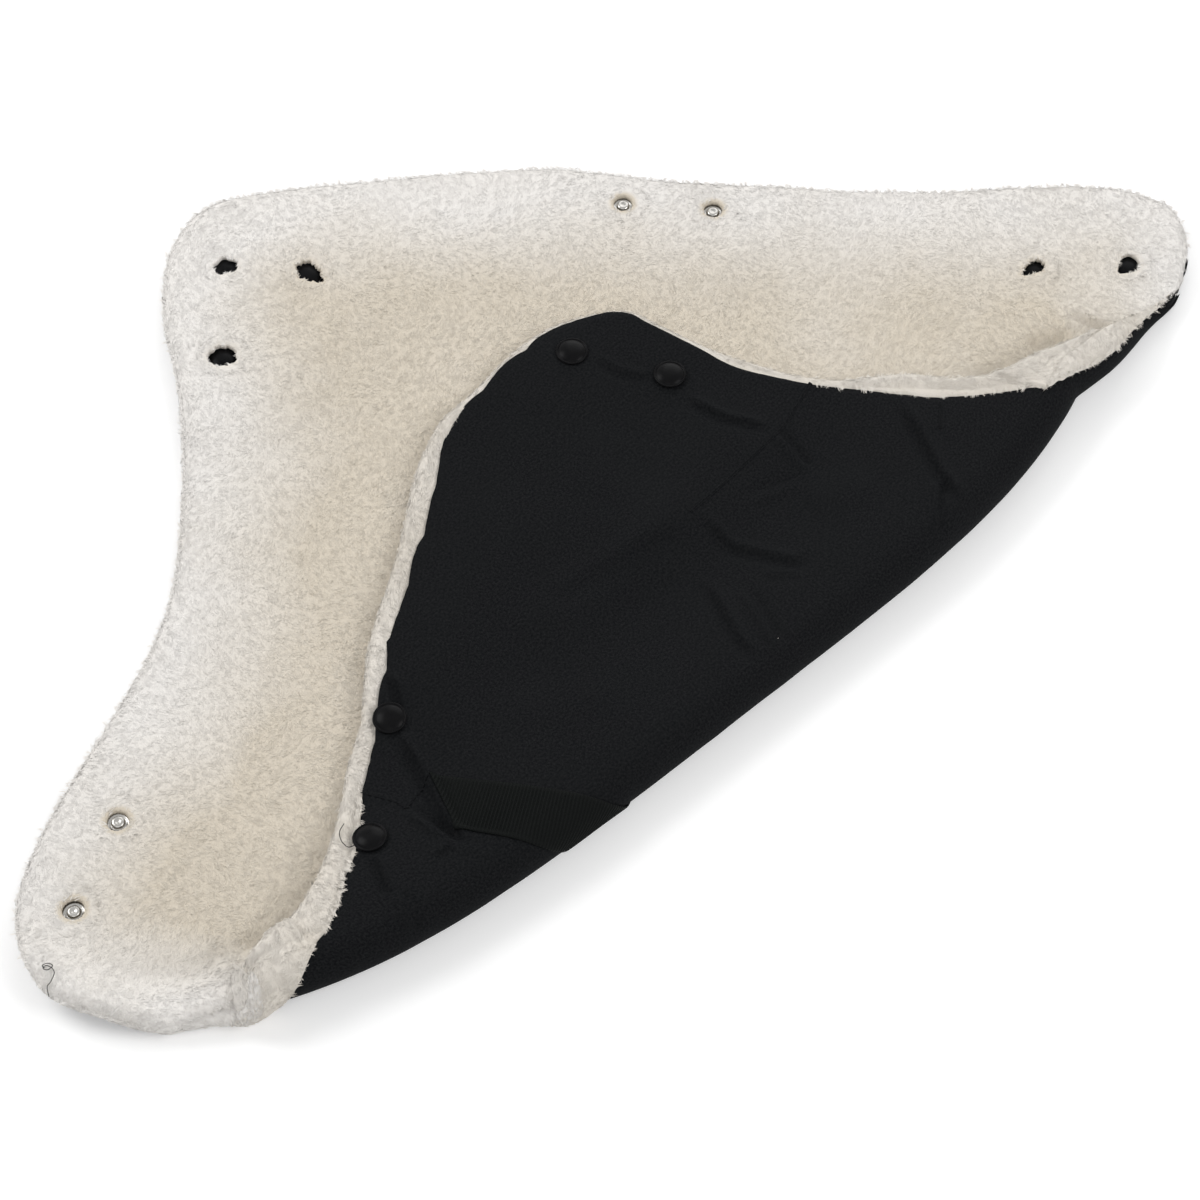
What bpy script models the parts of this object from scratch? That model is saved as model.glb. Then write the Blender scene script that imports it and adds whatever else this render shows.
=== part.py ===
"""A quilted hand muff for a stroller handle, unsnapped and laid out flat.

The muff is one sheet of two cloths: a thin woven shell outside and a thick pile lining inside. It lies
pile up, with one corner turned back over its middle, so that corner shows the shell. The turned corner
is the moving part. It swings about a straight line through the two ends of the fold, and the roll of
cloth between the two flat parts is a piece of its own that gives way as the corner opens.

Each snap fastener is two pieces through both cloths: a domed cap with a hollow shank, and on the other
side a stud or a socket that the flared end of the shank holds.

Lengths are in metres and angles in degrees. The origin is on the ground under the middle of the sheet.
"""
import math

import bmesh
import bpy
import numpy as np
from mathutils import Vector

# The two cloths, from the ground up
SHELL_THICKNESS = 0.0008
LINING_THICKNESS = 0.0070
CLOTH_GAP = 0.0004
EDGE_THICKNESS = 0.0034
RIM_DROP = 0.0016
LAY_GAP = 0.0005

# The fold: a straight line as its hinge, a roll of cloth round it, and the bow of its crest
FOLD_MIDDLE = (0.0365, -0.0382)
FOLD_ANGLE = 41.0
FOLD_HALF_LENGTH = 0.231
FOLD_BOW = 0.024
ROLL_RADIUS = 0.013
SAG_LENGTH = 0.060
FLOOR_START = -0.263
FLOOR_END = 0.313
CREST_START = -0.220
CREST_END = 0.222
ROLL_LEAD_ANGLE = 20.0

# The sheet's edge on the ground, from the fold's near end round to its far end
BASE_EDGE = [
    (-0.175, -0.212), (-0.200, -0.208), (-0.228, -0.196), (-0.243, -0.162), (-0.236, -0.122),
    (-0.212, -0.066), (-0.192, -0.010), (-0.189, 0.050), (-0.194, 0.105), (-0.205, 0.155),
    (-0.202, 0.196), (-0.178, 0.221), (-0.110, 0.235), (-0.035, 0.241), (0.040, 0.232),
    (0.100, 0.229), (0.170, 0.228), (0.235, 0.230), (0.268, 0.220), (0.278, 0.196), (0.275, 0.174),
]
# The edge of the turned corner, from the fold's near end round its tip
FLAP_EDGE = [
    (-0.124, -0.174), (-0.114, -0.148), (-0.109, -0.100), (-0.103, -0.050), (-0.094, 0.000),
    (-0.083, 0.052), (-0.066, 0.098), (-0.036, 0.132), (-0.006, 0.149), (0.014, 0.151),
    (0.040, 0.135), (0.080, 0.118), (0.130, 0.108), (0.170, 0.105), (0.192, 0.105),
]
# How far the pile stands out past the shell, along each of those edges
BASE_RIM = [0.004, 0.003, 0.003, 0.003, 0.002]
FLAP_RIM = [0.014, 0.007, 0.006, 0.003, 0.002, 0.004, 0.006, 0.004]
FLOOR_RIM = 0.004
CREST_RIM_START = 0.012
CREST_RIM_END = 0.004
BASE_EDGE_BAND = 0.009
FLAP_EDGE_BAND = 0.016
EDGE_PROUD = 0.00015

# Where the sheet is raised: edges that curl up, and broad folds of the turned corner
CURLS = [
    ((-0.238, -0.188), (-0.202, -0.210), 0.005, 0.026),
    ((0.279, 0.206), (0.276, 0.186), 0.004, 0.022),
    ((-0.200, 0.214), (-0.184, 0.222), 0.002, 0.022),
]
FLAP_FOLDS = [
    ((-0.074, -0.050), (-0.040, 0.020), 0.0022, 0.040),
    ((0.020, 0.020), (0.062, 0.070), 0.0026, 0.038),
    ((0.110, 0.050), (0.140, 0.085), 0.0020, 0.034),
]

# Snap fasteners
CAP_RADIUS = 0.0075
CAP_HEIGHT = 0.0027
SHANK_RADIUS = 0.0014
SHANK_FLARE = 0.0006
SHANK_BORE = 0.0009
STUD_RADIUS = 0.0054
STUD_FLANGE = 0.0011
STUD_HEIGHT = 0.0030
POST_RADIUS = 0.0027
POST_WALL = 0.0004
SOCKET_RADIUS = 0.0062
SOCKET_HEIGHT = 0.0026
SOCKET_BACK = 0.0005
SNAP_GAP = 0.0003
PILE_WEB = 0.0015
POCKET_GAP = 0.0010
FACE_CUT_GAP = 0.00015
LIFT_FLAT = 0.028
LIFT_REACH = 0.065
SNAP_PLACES = [
    ("top_left", "pile_cap", [(-0.177, 0.180), (-0.138, 0.177), (-0.175, 0.127)]),
    ("top_right", "pile_cap", [(0.205, 0.179), (0.250, 0.181)]),
    ("top_centre", "pile_stud", [(0.011, 0.218), (0.054, 0.214)]),
    ("bottom_left", "pile_stud", [(-0.204, -0.116), (-0.219, -0.158)]),
    ("tip", "shell_cap_stud", [(-0.013, 0.124), (0.032, 0.111)]),
    ("side", "shell_cap_socket", [(-0.090, -0.071), (-0.096, -0.130)]),
]

# The webbing band that crosses the fold
BAND_START = (-0.067, -0.113)
BAND_ANGLE = -11.0
BAND_WIDTH = 0.027
BAND_THICKNESS = 0.0012
BAND_GAP = 0.0005
BAND_WRAP_ANGLE = 55.0

# Facets
COLUMNS = 32
ROLL_ROWS = 5
BASE_ROWS = 6
SAG_ROWS = 5
LEVEL_ROWS = 3
SAG_SHARE_LIMIT = 0.6
EDGE_BAND_LIMIT = 0.4
BAND_CELLS = 10
TURN_STEPS = 16
ROUGH_EDGE = 1.0e-5

CLOTH_STACK = SHELL_THICKNESS + CLOTH_GAP + LINING_THICKNESS
SNAP_STACK = PILE_WEB + CLOTH_GAP + SHELL_THICKNESS + 2.0 * SNAP_GAP
SNAP_LIFT = SNAP_GAP + max(CAP_HEIGHT, SOCKET_HEIGHT)
CREST_HEIGHT = 2.0 * ROLL_RADIUS
REST_HEIGHT = 2.0 * CLOTH_STACK + LAY_GAP
# The opened corner lies with the band's face on the ground
HINGE_HEIGHT = 0.5 * (CREST_HEIGHT + BAND_GAP + BAND_THICKNESS)

UP = Vector((0.0, 0.0, 1.0))
ALONG = Vector((math.cos(math.radians(FOLD_ANGLE)), math.sin(math.radians(FOLD_ANGLE)), 0.0))
OUTWARD = Vector((ALONG.y, -ALONG.x, 0.0))


def mix(start, end, share):
    """The value a share of the way from start to end."""
    return start + (end - start) * share


def ease(share):
    """A share from 0 to 1 that starts and ends level."""
    share = min(max(share, 0.0), 1.0)
    return share * share * (3.0 - 2.0 * share)


def smooth_curve(points, share):
    """A point on the curve that passes smoothly through all the points."""
    place = share * (len(points) - 1)
    first = min(int(place), len(points) - 2)
    t = place - first
    a, b, c, d = [np.array(points[min(max(first + k, 0), len(points) - 1)]) for k in (-1, 0, 1, 2)]
    return 0.5 * (2.0 * b + (c - a) * t + (2.0 * a - 5.0 * b + 4.0 * c - d) * t * t
                  + (3.0 * b - a - 3.0 * c + d) * t ** 3)


def sheet_middle():
    """The middle of the box round the sheet's edge, which is the part's origin."""
    edge = np.array([smooth_curve(BASE_EDGE, share) for share in np.linspace(0.0, 1.0, 400)])
    return Vector((*(edge.min(axis=0) + edge.max(axis=0)) * 0.5, 0.0))


MIDDLE = sheet_middle()


def on_ground(place):
    """A place of the layout as a point of the part, at ground level."""
    return Vector((place[0], place[1], 0.0)) - MIDDLE


HINGE = on_ground(FOLD_MIDDLE) + UP * HINGE_HEIGHT


def by_fold(along, outward, height=0.0):
    """A point given by its distances along the hinge line and out from it."""
    return on_ground(FOLD_MIDDLE) + ALONG * along + OUTWARD * outward + UP * height


def bow(along):
    """How far the fold's crest bows out from the hinge line."""
    return FOLD_BOW * (1.0 - min(abs(along) / FOLD_HALF_LENGTH, 1.0) ** 4)


def ridge(point, start, end, height, reach):
    """The height of a soft ridge along a line, at a point."""
    first = on_ground(start)
    line = on_ground(end) - first
    flat = Vector((point.x, point.y, 0.0)) - first
    share = min(max(flat.dot(line) / line.length_squared, 0.0), 1.0)
    return height * ease(1.0 - (flat - line * share).length / reach)


def base_rise(point):
    """How high the sheet's underside is off the ground: over the snaps, and where its edge curls."""
    sunk = 1.0
    for name, kind, places in SNAP_PLACES:
        if kind.startswith("pile"):
            for place in places:
                away = (Vector((point.x, point.y, 0.0)) - on_ground(place)).length
                sunk *= ease((away - LIFT_FLAT) / (LIFT_REACH - LIFT_FLAT))
    return SNAP_LIFT * (1.0 - sunk) + sum(ridge(point, *curl) for curl in CURLS)


def flap_top(point):
    """The height of the turned corner's shell: level at the crest, then sagging on to the sheet."""
    offset = point - on_ground(FOLD_MIDDLE)
    inward = bow(offset.dot(ALONG)) - offset.dot(OUTWARD)
    sag = ease(inward / SAG_LENGTH)
    return mix(CREST_HEIGHT, REST_HEIGHT, sag) + sag * sum(ridge(point, *fold) for fold in FLAP_FOLDS)


def roll_face(along, path):
    """A point on the outside of the roll, and its direction out, a path's length back from the crest."""
    turn = path / ROLL_RADIUS
    direction = OUTWARD * math.sin(turn) + UP * math.cos(turn)
    point = by_fold(along, bow(along), ROLL_RADIUS) + direction * ROLL_RADIUS
    return point, direction


def add_material(name, color, roughness, metallic):
    """A plain material for one piece."""
    material = bpy.data.materials.new(name)
    material.use_nodes = True
    shader = material.node_tree.nodes["Principled BSDF"]
    shader.inputs["Base Color"].default_value = (*color, 1.0)
    shader.inputs["Roughness"].default_value = roughness
    shader.inputs["Metallic"].default_value = metallic
    material.diffuse_color = (*color, 1.0)
    return material


def pile_material(name):
    return add_material(name, (0.86, 0.83, 0.77), 0.95, 0.0)


def shell_material(name):
    return add_material(name, (0.022, 0.023, 0.026), 0.75, 0.0)


def cap_material(name):
    return add_material(name, (0.018, 0.018, 0.020), 0.28, 0.0)


def snap_metal_material(name):
    return add_material(name, (0.78, 0.77, 0.74), 0.22, 1.0)


def finish(mesh, name, material, collection):
    """Turns a finished bmesh into a named object with its own material."""
    bmesh.ops.recalc_face_normals(mesh, faces=mesh.faces[:])
    data = bpy.data.meshes.new(name)
    mesh.to_mesh(data)
    mesh.free()
    data.shade_smooth()
    data.set_sharp_from_angle(angle=math.radians(50.0))
    data.materials.append(material)
    part = bpy.data.objects.new(name, data)
    collection.objects.link(part)
    return part


def cloth_slab(name, columns, rows, bend, material, collection):
    """A flat slab, gridded in both directions, bent by a function.

    The function takes a column, a row and a side, 0 or 1, and gives the point there. The cells are
    split before the slab is bent, so that cloths that lie on each other have matching facets.
    """
    mesh = bmesh.new()
    bmesh.ops.create_grid(mesh, x_segments=columns, y_segments=rows, size=1.0)
    bmesh.ops.triangulate(mesh, faces=mesh.faces[:], quad_method="FIXED")
    top = bmesh.ops.extrude_face_region(mesh, geom=mesh.faces[:])
    for item in top["geom"]:
        if isinstance(item, bmesh.types.BMVert):
            item.co.z = 1.0
    for vertex in mesh.verts:
        column = round((vertex.co.x + 1.0) * 0.5 * columns)
        row = round((vertex.co.y + 1.0) * 0.5 * rows)
        vertex.co = bend(column, row, vertex.co.z)
    return finish(mesh, name, material, collection)


def edge_place(points, share, inner, band):
    """A point of the sheet's edge, and the point a band's width in from it towards the fold."""
    outer = on_ground(smooth_curve(points, share))
    line = inner - outer
    return outer, outer + line * min(band / line.length, EDGE_BAND_LIMIT)


def base_lattice():
    """The outer face of the flat part: ruled from the fold's floor line out to the sheet's edge.

    Each lattice is a list of columns, and each of its entries a point with the way into the cloth.
    """
    columns = []
    for column in range(COLUMNS + 1):
        share = column / COLUMNS
        along = mix(FLOOR_START, FLOOR_END, share)
        inner = by_fold(along, -bow(along) - CLOTH_GAP)
        outer, inset = edge_place(BASE_EDGE, share, inner, BASE_EDGE_BAND)
        points = [mix(inner, inset, row / BASE_ROWS) for row in range(BASE_ROWS + 1)] + [outer]
        columns.append([(point + UP * base_rise(point), UP) for point in points])
    return columns


def flap_lattice():
    """The outer face of the turned corner: even rows down the sag, then ruled out to its edge."""
    columns = []
    for column in range(COLUMNS + 1):
        share = column / COLUMNS
        along = mix(CREST_START, CREST_END, share)
        inner = by_fold(along, bow(along) - CLOTH_GAP)
        outer, inset = edge_place(FLAP_EDGE, share, inner, FLAP_EDGE_BAND)
        line = inset - inner
        sagging = min(SAG_LENGTH / max(-line.dot(OUTWARD), SAG_LENGTH), SAG_SHARE_LIMIT)
        shares = [sagging * row / SAG_ROWS for row in range(SAG_ROWS)]
        shares += [mix(sagging, 1.0, row / LEVEL_ROWS) for row in range(LEVEL_ROWS + 1)]
        points = [inner + line * share for share in shares]
        column_points = [(point + UP * flap_top(point), -UP) for point in points]
        column_points.append((outer + UP * (flap_top(outer) - RIM_DROP), -UP))
        columns.append(column_points)
    return columns


def fold_lattice():
    """The outside of the roll: along the ground under the crest, then half a turn up and over it.

    Its ends are slanted, because the sheet's edge crosses the fold at a slant.
    """
    lead = ROLL_LEAD_ANGLE / 180.0
    climbs = [0.0] + [mix(lead, 1.0, row / ROLL_ROWS) for row in range(ROLL_ROWS + 1)]
    columns = []
    for column in range(COLUMNS + 1):
        entries = []
        for row, climb in enumerate(climbs):
            start = mix(FLOOR_START, CREST_START, climb)
            end = mix(FLOOR_END, CREST_END, climb)
            along = mix(start, end, column / COLUMNS)
            if row == 0:
                point, direction = by_fold(along, -bow(along)), -UP
            else:
                point, direction = roll_face(along, (1.0 - climb) * math.pi * ROLL_RADIUS)
            entries.append((point + UP * base_rise(point) * (1.0 - climb), -direction))
        columns.append(entries)
    return columns


def draw_in(entry, neighbour, share, proud):
    """A lattice entry moved a share of the way to its neighbour, and a little off the cloth below."""
    point, inward = [mix(entry[k], neighbour[k], share) for k in (0, 1)]
    return point - inward * proud, inward


def trimmed(lattice, start_shares, end_shares, edge_shares, proud):
    """A lattice whose two ends and outer edge are drawn in by shares of their cells.

    Its first row, where the next cloth meets it, stays level with the rest.
    """
    columns = [list(column) for column in lattice]
    for row in range(len(columns[0])):
        lift = proud if row else 0.0
        columns[0][row] = draw_in(columns[0][row], columns[1][row], start_shares[row], lift)
        columns[-1][row] = draw_in(columns[-1][row], columns[-2][row], end_shares[row], lift)
    for column, share in zip(columns, edge_shares):
        column[-1] = draw_in(column[-1], column[-2], share, proud if share else 0.0)
    return columns


def rim_shares(widths, band):
    """The rim's share of the edge band at every column."""
    curve = [smooth_curve([(width,) for width in widths], k / COLUMNS)[0] for k in range(COLUMNS + 1)]
    return [float(width) / band for width in curve]


def add_cloth(name, lattice, low, thickness, edge_thickness, material, collection):
    """A cloth between two depths below its lattice, thinner along its outer edge."""
    rows = len(lattice[0]) - 1

    def bend(column, row, side):
        point, inward = lattice[column][row]
        depth = edge_thickness if row == rows else thickness
        return point + inward * (low + side * depth)

    return cloth_slab(name, len(lattice) - 1, rows, bend, material, collection)


def band_place(start_along, start_path, across, length):
    """The band's place on the cloth: along the hinge line, and back over the crest from it."""
    lean = math.radians(BAND_ANGLE - FOLD_ANGLE)
    along = start_along + length * math.cos(lean) + across * math.sin(lean)
    path = start_path - length * math.sin(lean) + across * math.cos(lean)
    return along, path


def add_band(name, over_crest, material, collection):
    """The webbing on one side of the crest: down the turned corner, or round the roll."""
    offset = on_ground(BAND_START) - on_ground(FOLD_MIDDLE)
    start_along = offset.dot(ALONG)
    start_path = offset.dot(OUTWARD) - bow(start_along)
    end_path = ROLL_RADIUS * math.radians(90.0 + BAND_WRAP_ANGLE)

    def bend(column, row, side):
        across = BAND_WIDTH * (row / 2.0 - 0.5)
        path_slope = band_place(0.0, 0.0, 0.0, 1.0)[1]
        at_start = band_place(start_along, start_path, across, 0.0)[1]
        first, last = (CLOTH_GAP, end_path) if over_crest else (at_start, -CLOTH_GAP)
        path = mix(first, last, column / BAND_CELLS)
        along = band_place(start_along, start_path, across, (path - at_start) / path_slope)[0]
        depth = BAND_GAP + side * BAND_THICKNESS
        if over_crest:
            point, direction = roll_face(along, path)
            return point + direction * depth
        point = by_fold(along, bow(along) + path)
        return point + UP * (flap_top(point) + depth)

    return cloth_slab(name, BAND_CELLS, 2, bend, material, collection)


def turned(name, profile, closed, material, collection):
    """A profile in the XZ plane, turned about Z."""
    data = bpy.data.meshes.new(name)
    edges = [(k, k + 1) for k in range(len(profile) - 1)]
    if closed:
        edges.append((len(profile) - 1, 0))
    data.from_pydata([(radius, 0.0, height) for radius, height in profile], edges, [])
    part = bpy.data.objects.new(name, data)
    screw = part.modifiers.new("Turn", "SCREW")
    screw.axis = "Z"
    screw.steps = TURN_STEPS
    screw.render_steps = TURN_STEPS
    screw.use_merge_vertices = True
    screw.merge_threshold = ROUGH_EDGE
    screw.use_smooth_shade = True
    if material:
        data.materials.append(material)
    collection.objects.link(part)
    return part


def cap_profile():
    """A dome with a rolled rim, over a hollow shank whose end is flared. Its underside is at height 0."""
    end = -SNAP_STACK - SOCKET_BACK - SNAP_GAP
    flare = SHANK_RADIUS + SHANK_FLARE
    return [
        (0.0, CAP_HEIGHT), (CAP_RADIUS * 0.48, CAP_HEIGHT * 0.94), (CAP_RADIUS * 0.82, CAP_HEIGHT * 0.72),
        (CAP_RADIUS * 0.90, CAP_HEIGHT * 0.76), (CAP_RADIUS, CAP_HEIGHT * 0.48), (CAP_RADIUS * 0.93, 0.0),
        (SHANK_RADIUS, 0.0), (SHANK_RADIUS, end), (flare, end - SHANK_FLARE * 0.3),
        (SHANK_BORE, end - SHANK_FLARE), (SHANK_BORE, end + SHANK_RADIUS), (0.0, end + SHANK_RADIUS),
    ]


def stud_profile():
    """A hollow post with a bulb, on a flange with a raised ring. Its back is at height 0."""
    hollow = POST_RADIUS - POST_WALL
    return [
        (0.0, STUD_HEIGHT), (POST_RADIUS * 0.66, STUD_HEIGHT), (POST_RADIUS, STUD_HEIGHT * 0.80),
        (POST_RADIUS * 0.93, STUD_FLANGE * 0.75), (STUD_RADIUS * 0.80, STUD_FLANGE),
        (STUD_RADIUS, STUD_FLANGE * 0.55), (STUD_RADIUS * 0.96, 0.0), (hollow, 0.0),
        (hollow, STUD_HEIGHT * 0.78), (0.0, STUD_HEIGHT * 0.78),
    ]


def socket_profile():
    """A ring round the cup that takes a stud's post, with a hole for the shank in its back."""
    cup = POST_RADIUS + SNAP_GAP
    hole = SHANK_RADIUS + SNAP_GAP
    return [
        (cup, SOCKET_HEIGHT), (SOCKET_RADIUS * 0.82, SOCKET_HEIGHT), (SOCKET_RADIUS * 0.95, SOCKET_HEIGHT * 0.80),
        (SOCKET_RADIUS, SOCKET_HEIGHT * 0.25), (SOCKET_RADIUS * 0.95, 0.0), (hole, 0.0), (hole, SOCKET_BACK),
        (cup + POST_WALL, SOCKET_BACK), (cup + POST_WALL, SOCKET_HEIGHT * 0.6),
    ]


def spool_profile(top_radius, top_face, bottom_face, bottom_radius):
    """A cutter: a thin hole for the shank between two wide ends."""
    hole = SHANK_RADIUS + SNAP_GAP
    reach = CLOTH_STACK + 2.0 * CAP_HEIGHT
    return [
        (0.0, reach), (top_radius, reach), (top_radius, top_face), (hole, top_face),
        (hole, bottom_face), (bottom_radius, bottom_face), (bottom_radius, -SNAP_STACK - reach),
        (0.0, -SNAP_STACK - reach),
    ]


def flap_normal(point):
    """The direction square to the turned corner's shell."""
    step = SHANK_RADIUS
    slope_x = (flap_top(point + Vector((step, 0.0, 0.0))) - flap_top(point - Vector((step, 0.0, 0.0)))) / (2.0 * step)
    slope_y = (flap_top(point + Vector((0.0, step, 0.0))) - flap_top(point - Vector((0.0, step, 0.0)))) / (2.0 * step)
    return Vector((-slope_x, -slope_y, 1.0)).normalized()


def snap_seat(kind, place):
    """Where a cap's underside lies, and which way its dome faces."""
    ground = on_ground(place)
    if kind == "pile_cap":
        height = base_rise(ground) + SHELL_THICKNESS + CLOTH_GAP + PILE_WEB + SNAP_GAP
        return ground + UP * height, UP
    if kind == "pile_stud":
        return ground + UP * (base_rise(ground) - SNAP_GAP), -UP
    normal = flap_normal(ground)
    return ground + UP * flap_top(ground) + normal * SNAP_GAP, normal


def set_place(part, seat, direction):
    """Stands a turned piece on its seat."""
    part.location = seat
    part.rotation_mode = "QUATERNION"
    part.rotation_quaternion = UP.rotation_difference(direction)


def cut_snap(kind, name, seat, direction, cloths, cutters):
    """Cuts the shank's hole and the pocket in the pile, and faces the shell where the snap seats."""
    metal_radius = STUD_RADIUS if kind in ("pile_stud", "shell_cap_stud") else SOCKET_RADIUS
    if kind == "pile_cap":
        profile = spool_profile(CAP_RADIUS + POCKET_GAP, -SNAP_GAP,
                                -SNAP_STACK + SNAP_GAP - FACE_CUT_GAP, metal_radius + POCKET_GAP)
    else:
        profile = spool_profile(CAP_RADIUS + POCKET_GAP, -SNAP_GAP + FACE_CUT_GAP,
                                -SNAP_STACK + SNAP_GAP, metal_radius + POCKET_GAP)
    cutter = turned("cut_" + name, profile, False, None, cutters)
    set_place(cutter, seat, direction)
    cutter.hide_render = True
    cutter.display_type = "WIRE"
    for cloth in cloths:
        cut = cloth.modifiers.new("Snap " + name, "BOOLEAN")
        cut.operation = "DIFFERENCE"
        cut.solver = "EXACT"
        cut.object = cutter


def add_snaps(base_cloths, flap_cloths, parts, cutters):
    """Every snap, with its seat cut in both cloths. Gives the pieces that the turned corner carries."""
    carried = []
    for group, kind, places in SNAP_PLACES:
        on_flap = kind.startswith("shell")
        metal_name = "stud" if kind in ("pile_stud", "shell_cap_stud") else "socket"
        for number, place in enumerate(places, 1):
            name = f"{group}_{number}"
            seat, direction = snap_seat(kind, place)
            cap_name = "cap_" + name
            cap = turned(cap_name, cap_profile(), False, cap_material(cap_name), parts)
            set_place(cap, seat, direction)
            metal_name_here = f"{metal_name}_{name}"
            metal_material = snap_metal_material(metal_name_here)
            if metal_name == "stud":
                metal = turned(metal_name_here, stud_profile(), False, metal_material, parts)
            else:
                metal = turned(metal_name_here, socket_profile(), True, metal_material, parts)
            set_place(metal, seat - direction * SNAP_STACK, -direction)
            cut_snap(kind, name, seat, direction, flap_cloths if on_flap else base_cloths, cutters)
            if on_flap:
                carried += [cap, metal]
    return carried


def add_hinge_axis(carried, parts):
    """An empty on the fold's hinge line that carries every piece of the turned corner."""
    axis = bpy.data.objects.new("corner_fold_axis", None)
    axis.location = HINGE
    axis.rotation_euler = (0.0, 0.0, math.radians(FOLD_ANGLE))
    parts.objects.link(axis)
    bpy.context.view_layer.update()
    for part in carried:
        part.parent = axis
        part.matrix_parent_inverse = axis.matrix_world.inverted()


def main():
    for item in list(bpy.data.objects):
        bpy.data.objects.remove(item, do_unlink=True)
    parts = bpy.data.collections.new("stroller_hand_muff")
    cutters = bpy.data.collections.new("cutters")
    bpy.context.scene.collection.children.link(parts)
    bpy.context.scene.collection.children.link(cutters)

    base = base_lattice()
    flap = flap_lattice()
    fold = fold_lattice()
    floor_cell = (FLOOR_END - FLOOR_START) / COLUMNS
    crest_cell = (CREST_END - CREST_START) / COLUMNS
    climbs = [row / (len(fold[0]) - 1) for row in range(len(fold[0]))]
    starts = [mix(FLOOR_RIM / floor_cell, CREST_RIM_START / crest_cell, climb) for climb in climbs]
    ends = [mix(FLOOR_RIM / floor_cell, CREST_RIM_END / crest_cell, climb) for climb in climbs]
    base_rows = len(base[0])
    flap_rows = len(flap[0])
    base_trimmed = trimmed(base, [starts[0]] * base_rows, [ends[0]] * base_rows,
                           rim_shares(BASE_RIM, BASE_EDGE_BAND), 0.0)
    flap_trimmed = trimmed(flap, [starts[-1]] * flap_rows, [ends[-1]] * flap_rows,
                           rim_shares(FLAP_RIM, FLAP_EDGE_BAND), EDGE_PROUD)
    fold_trimmed = trimmed(fold, starts, ends, [0.0] * (COLUMNS + 1), EDGE_PROUD)

    shells = {}
    linings = {}
    for body, whole, drawn, edge in (("base", base, base_trimmed, EDGE_THICKNESS),
                                     ("flap", flap, flap_trimmed, EDGE_THICKNESS),
                                     ("fold", fold, fold_trimmed, LINING_THICKNESS)):
        name = body + "_shell"
        shells[body] = add_cloth(name, drawn, 0.0, SHELL_THICKNESS, SHELL_THICKNESS,
                                 shell_material(name), parts)
        name = body + "_lining"
        linings[body] = add_cloth(name, whole, SHELL_THICKNESS + CLOTH_GAP, LINING_THICKNESS, edge,
                                  pile_material(name), parts)
    band = add_band("webbing_band", False, shell_material("webbing_band"), parts)
    add_band("fold_band", True, shell_material("fold_band"), parts)
    carried = add_snaps([shells["base"], linings["base"]], [shells["flap"], linings["flap"]], parts, cutters)
    add_hinge_axis([shells["flap"], linings["flap"], band] + carried, parts)


main()
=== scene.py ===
"""A stroller hand muff, laid out flat with its pile up, one corner turned back over its middle."""

import bpy
import numpy as np
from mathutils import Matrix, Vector


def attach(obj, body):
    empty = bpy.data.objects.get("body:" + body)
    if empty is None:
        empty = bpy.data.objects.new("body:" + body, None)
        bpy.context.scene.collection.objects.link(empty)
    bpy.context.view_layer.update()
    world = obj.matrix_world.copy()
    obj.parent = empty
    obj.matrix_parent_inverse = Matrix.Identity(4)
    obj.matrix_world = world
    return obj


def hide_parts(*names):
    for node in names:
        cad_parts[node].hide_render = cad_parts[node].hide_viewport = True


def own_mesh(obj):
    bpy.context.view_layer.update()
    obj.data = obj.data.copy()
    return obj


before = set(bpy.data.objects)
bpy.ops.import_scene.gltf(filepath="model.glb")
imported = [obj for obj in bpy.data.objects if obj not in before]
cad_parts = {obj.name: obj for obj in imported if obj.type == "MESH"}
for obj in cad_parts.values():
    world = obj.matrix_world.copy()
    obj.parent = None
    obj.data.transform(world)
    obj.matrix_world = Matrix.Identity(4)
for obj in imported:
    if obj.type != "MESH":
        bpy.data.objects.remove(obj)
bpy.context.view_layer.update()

# The camera looks down on the muff from the front, at the angle of a picture taken over a table.
CAMERA_TARGET = Vector((-0.0175, -0.0145, 0.0))
CAMERA_ELEVATION = np.radians(58.0)
CAMERA_DISTANCE = 1.4
CAMERA_LENS = 94.4
camera = bpy.data.objects.new("camera", bpy.data.cameras.new("camera"))
camera.data.lens = CAMERA_LENS
camera.data.clip_start, camera.data.clip_end = 0.05, 20.0
away = Vector((0.0, -np.cos(CAMERA_ELEVATION), np.sin(CAMERA_ELEVATION)))
camera.location = CAMERA_TARGET + away * CAMERA_DISTANCE
camera.rotation_euler = away.to_track_quat("Z", "Y").to_euler()
bpy.context.scene.collection.objects.link(camera)
bpy.context.scene.camera = camera
bpy.context.scene.view_settings.view_transform = "Standard"

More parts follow.
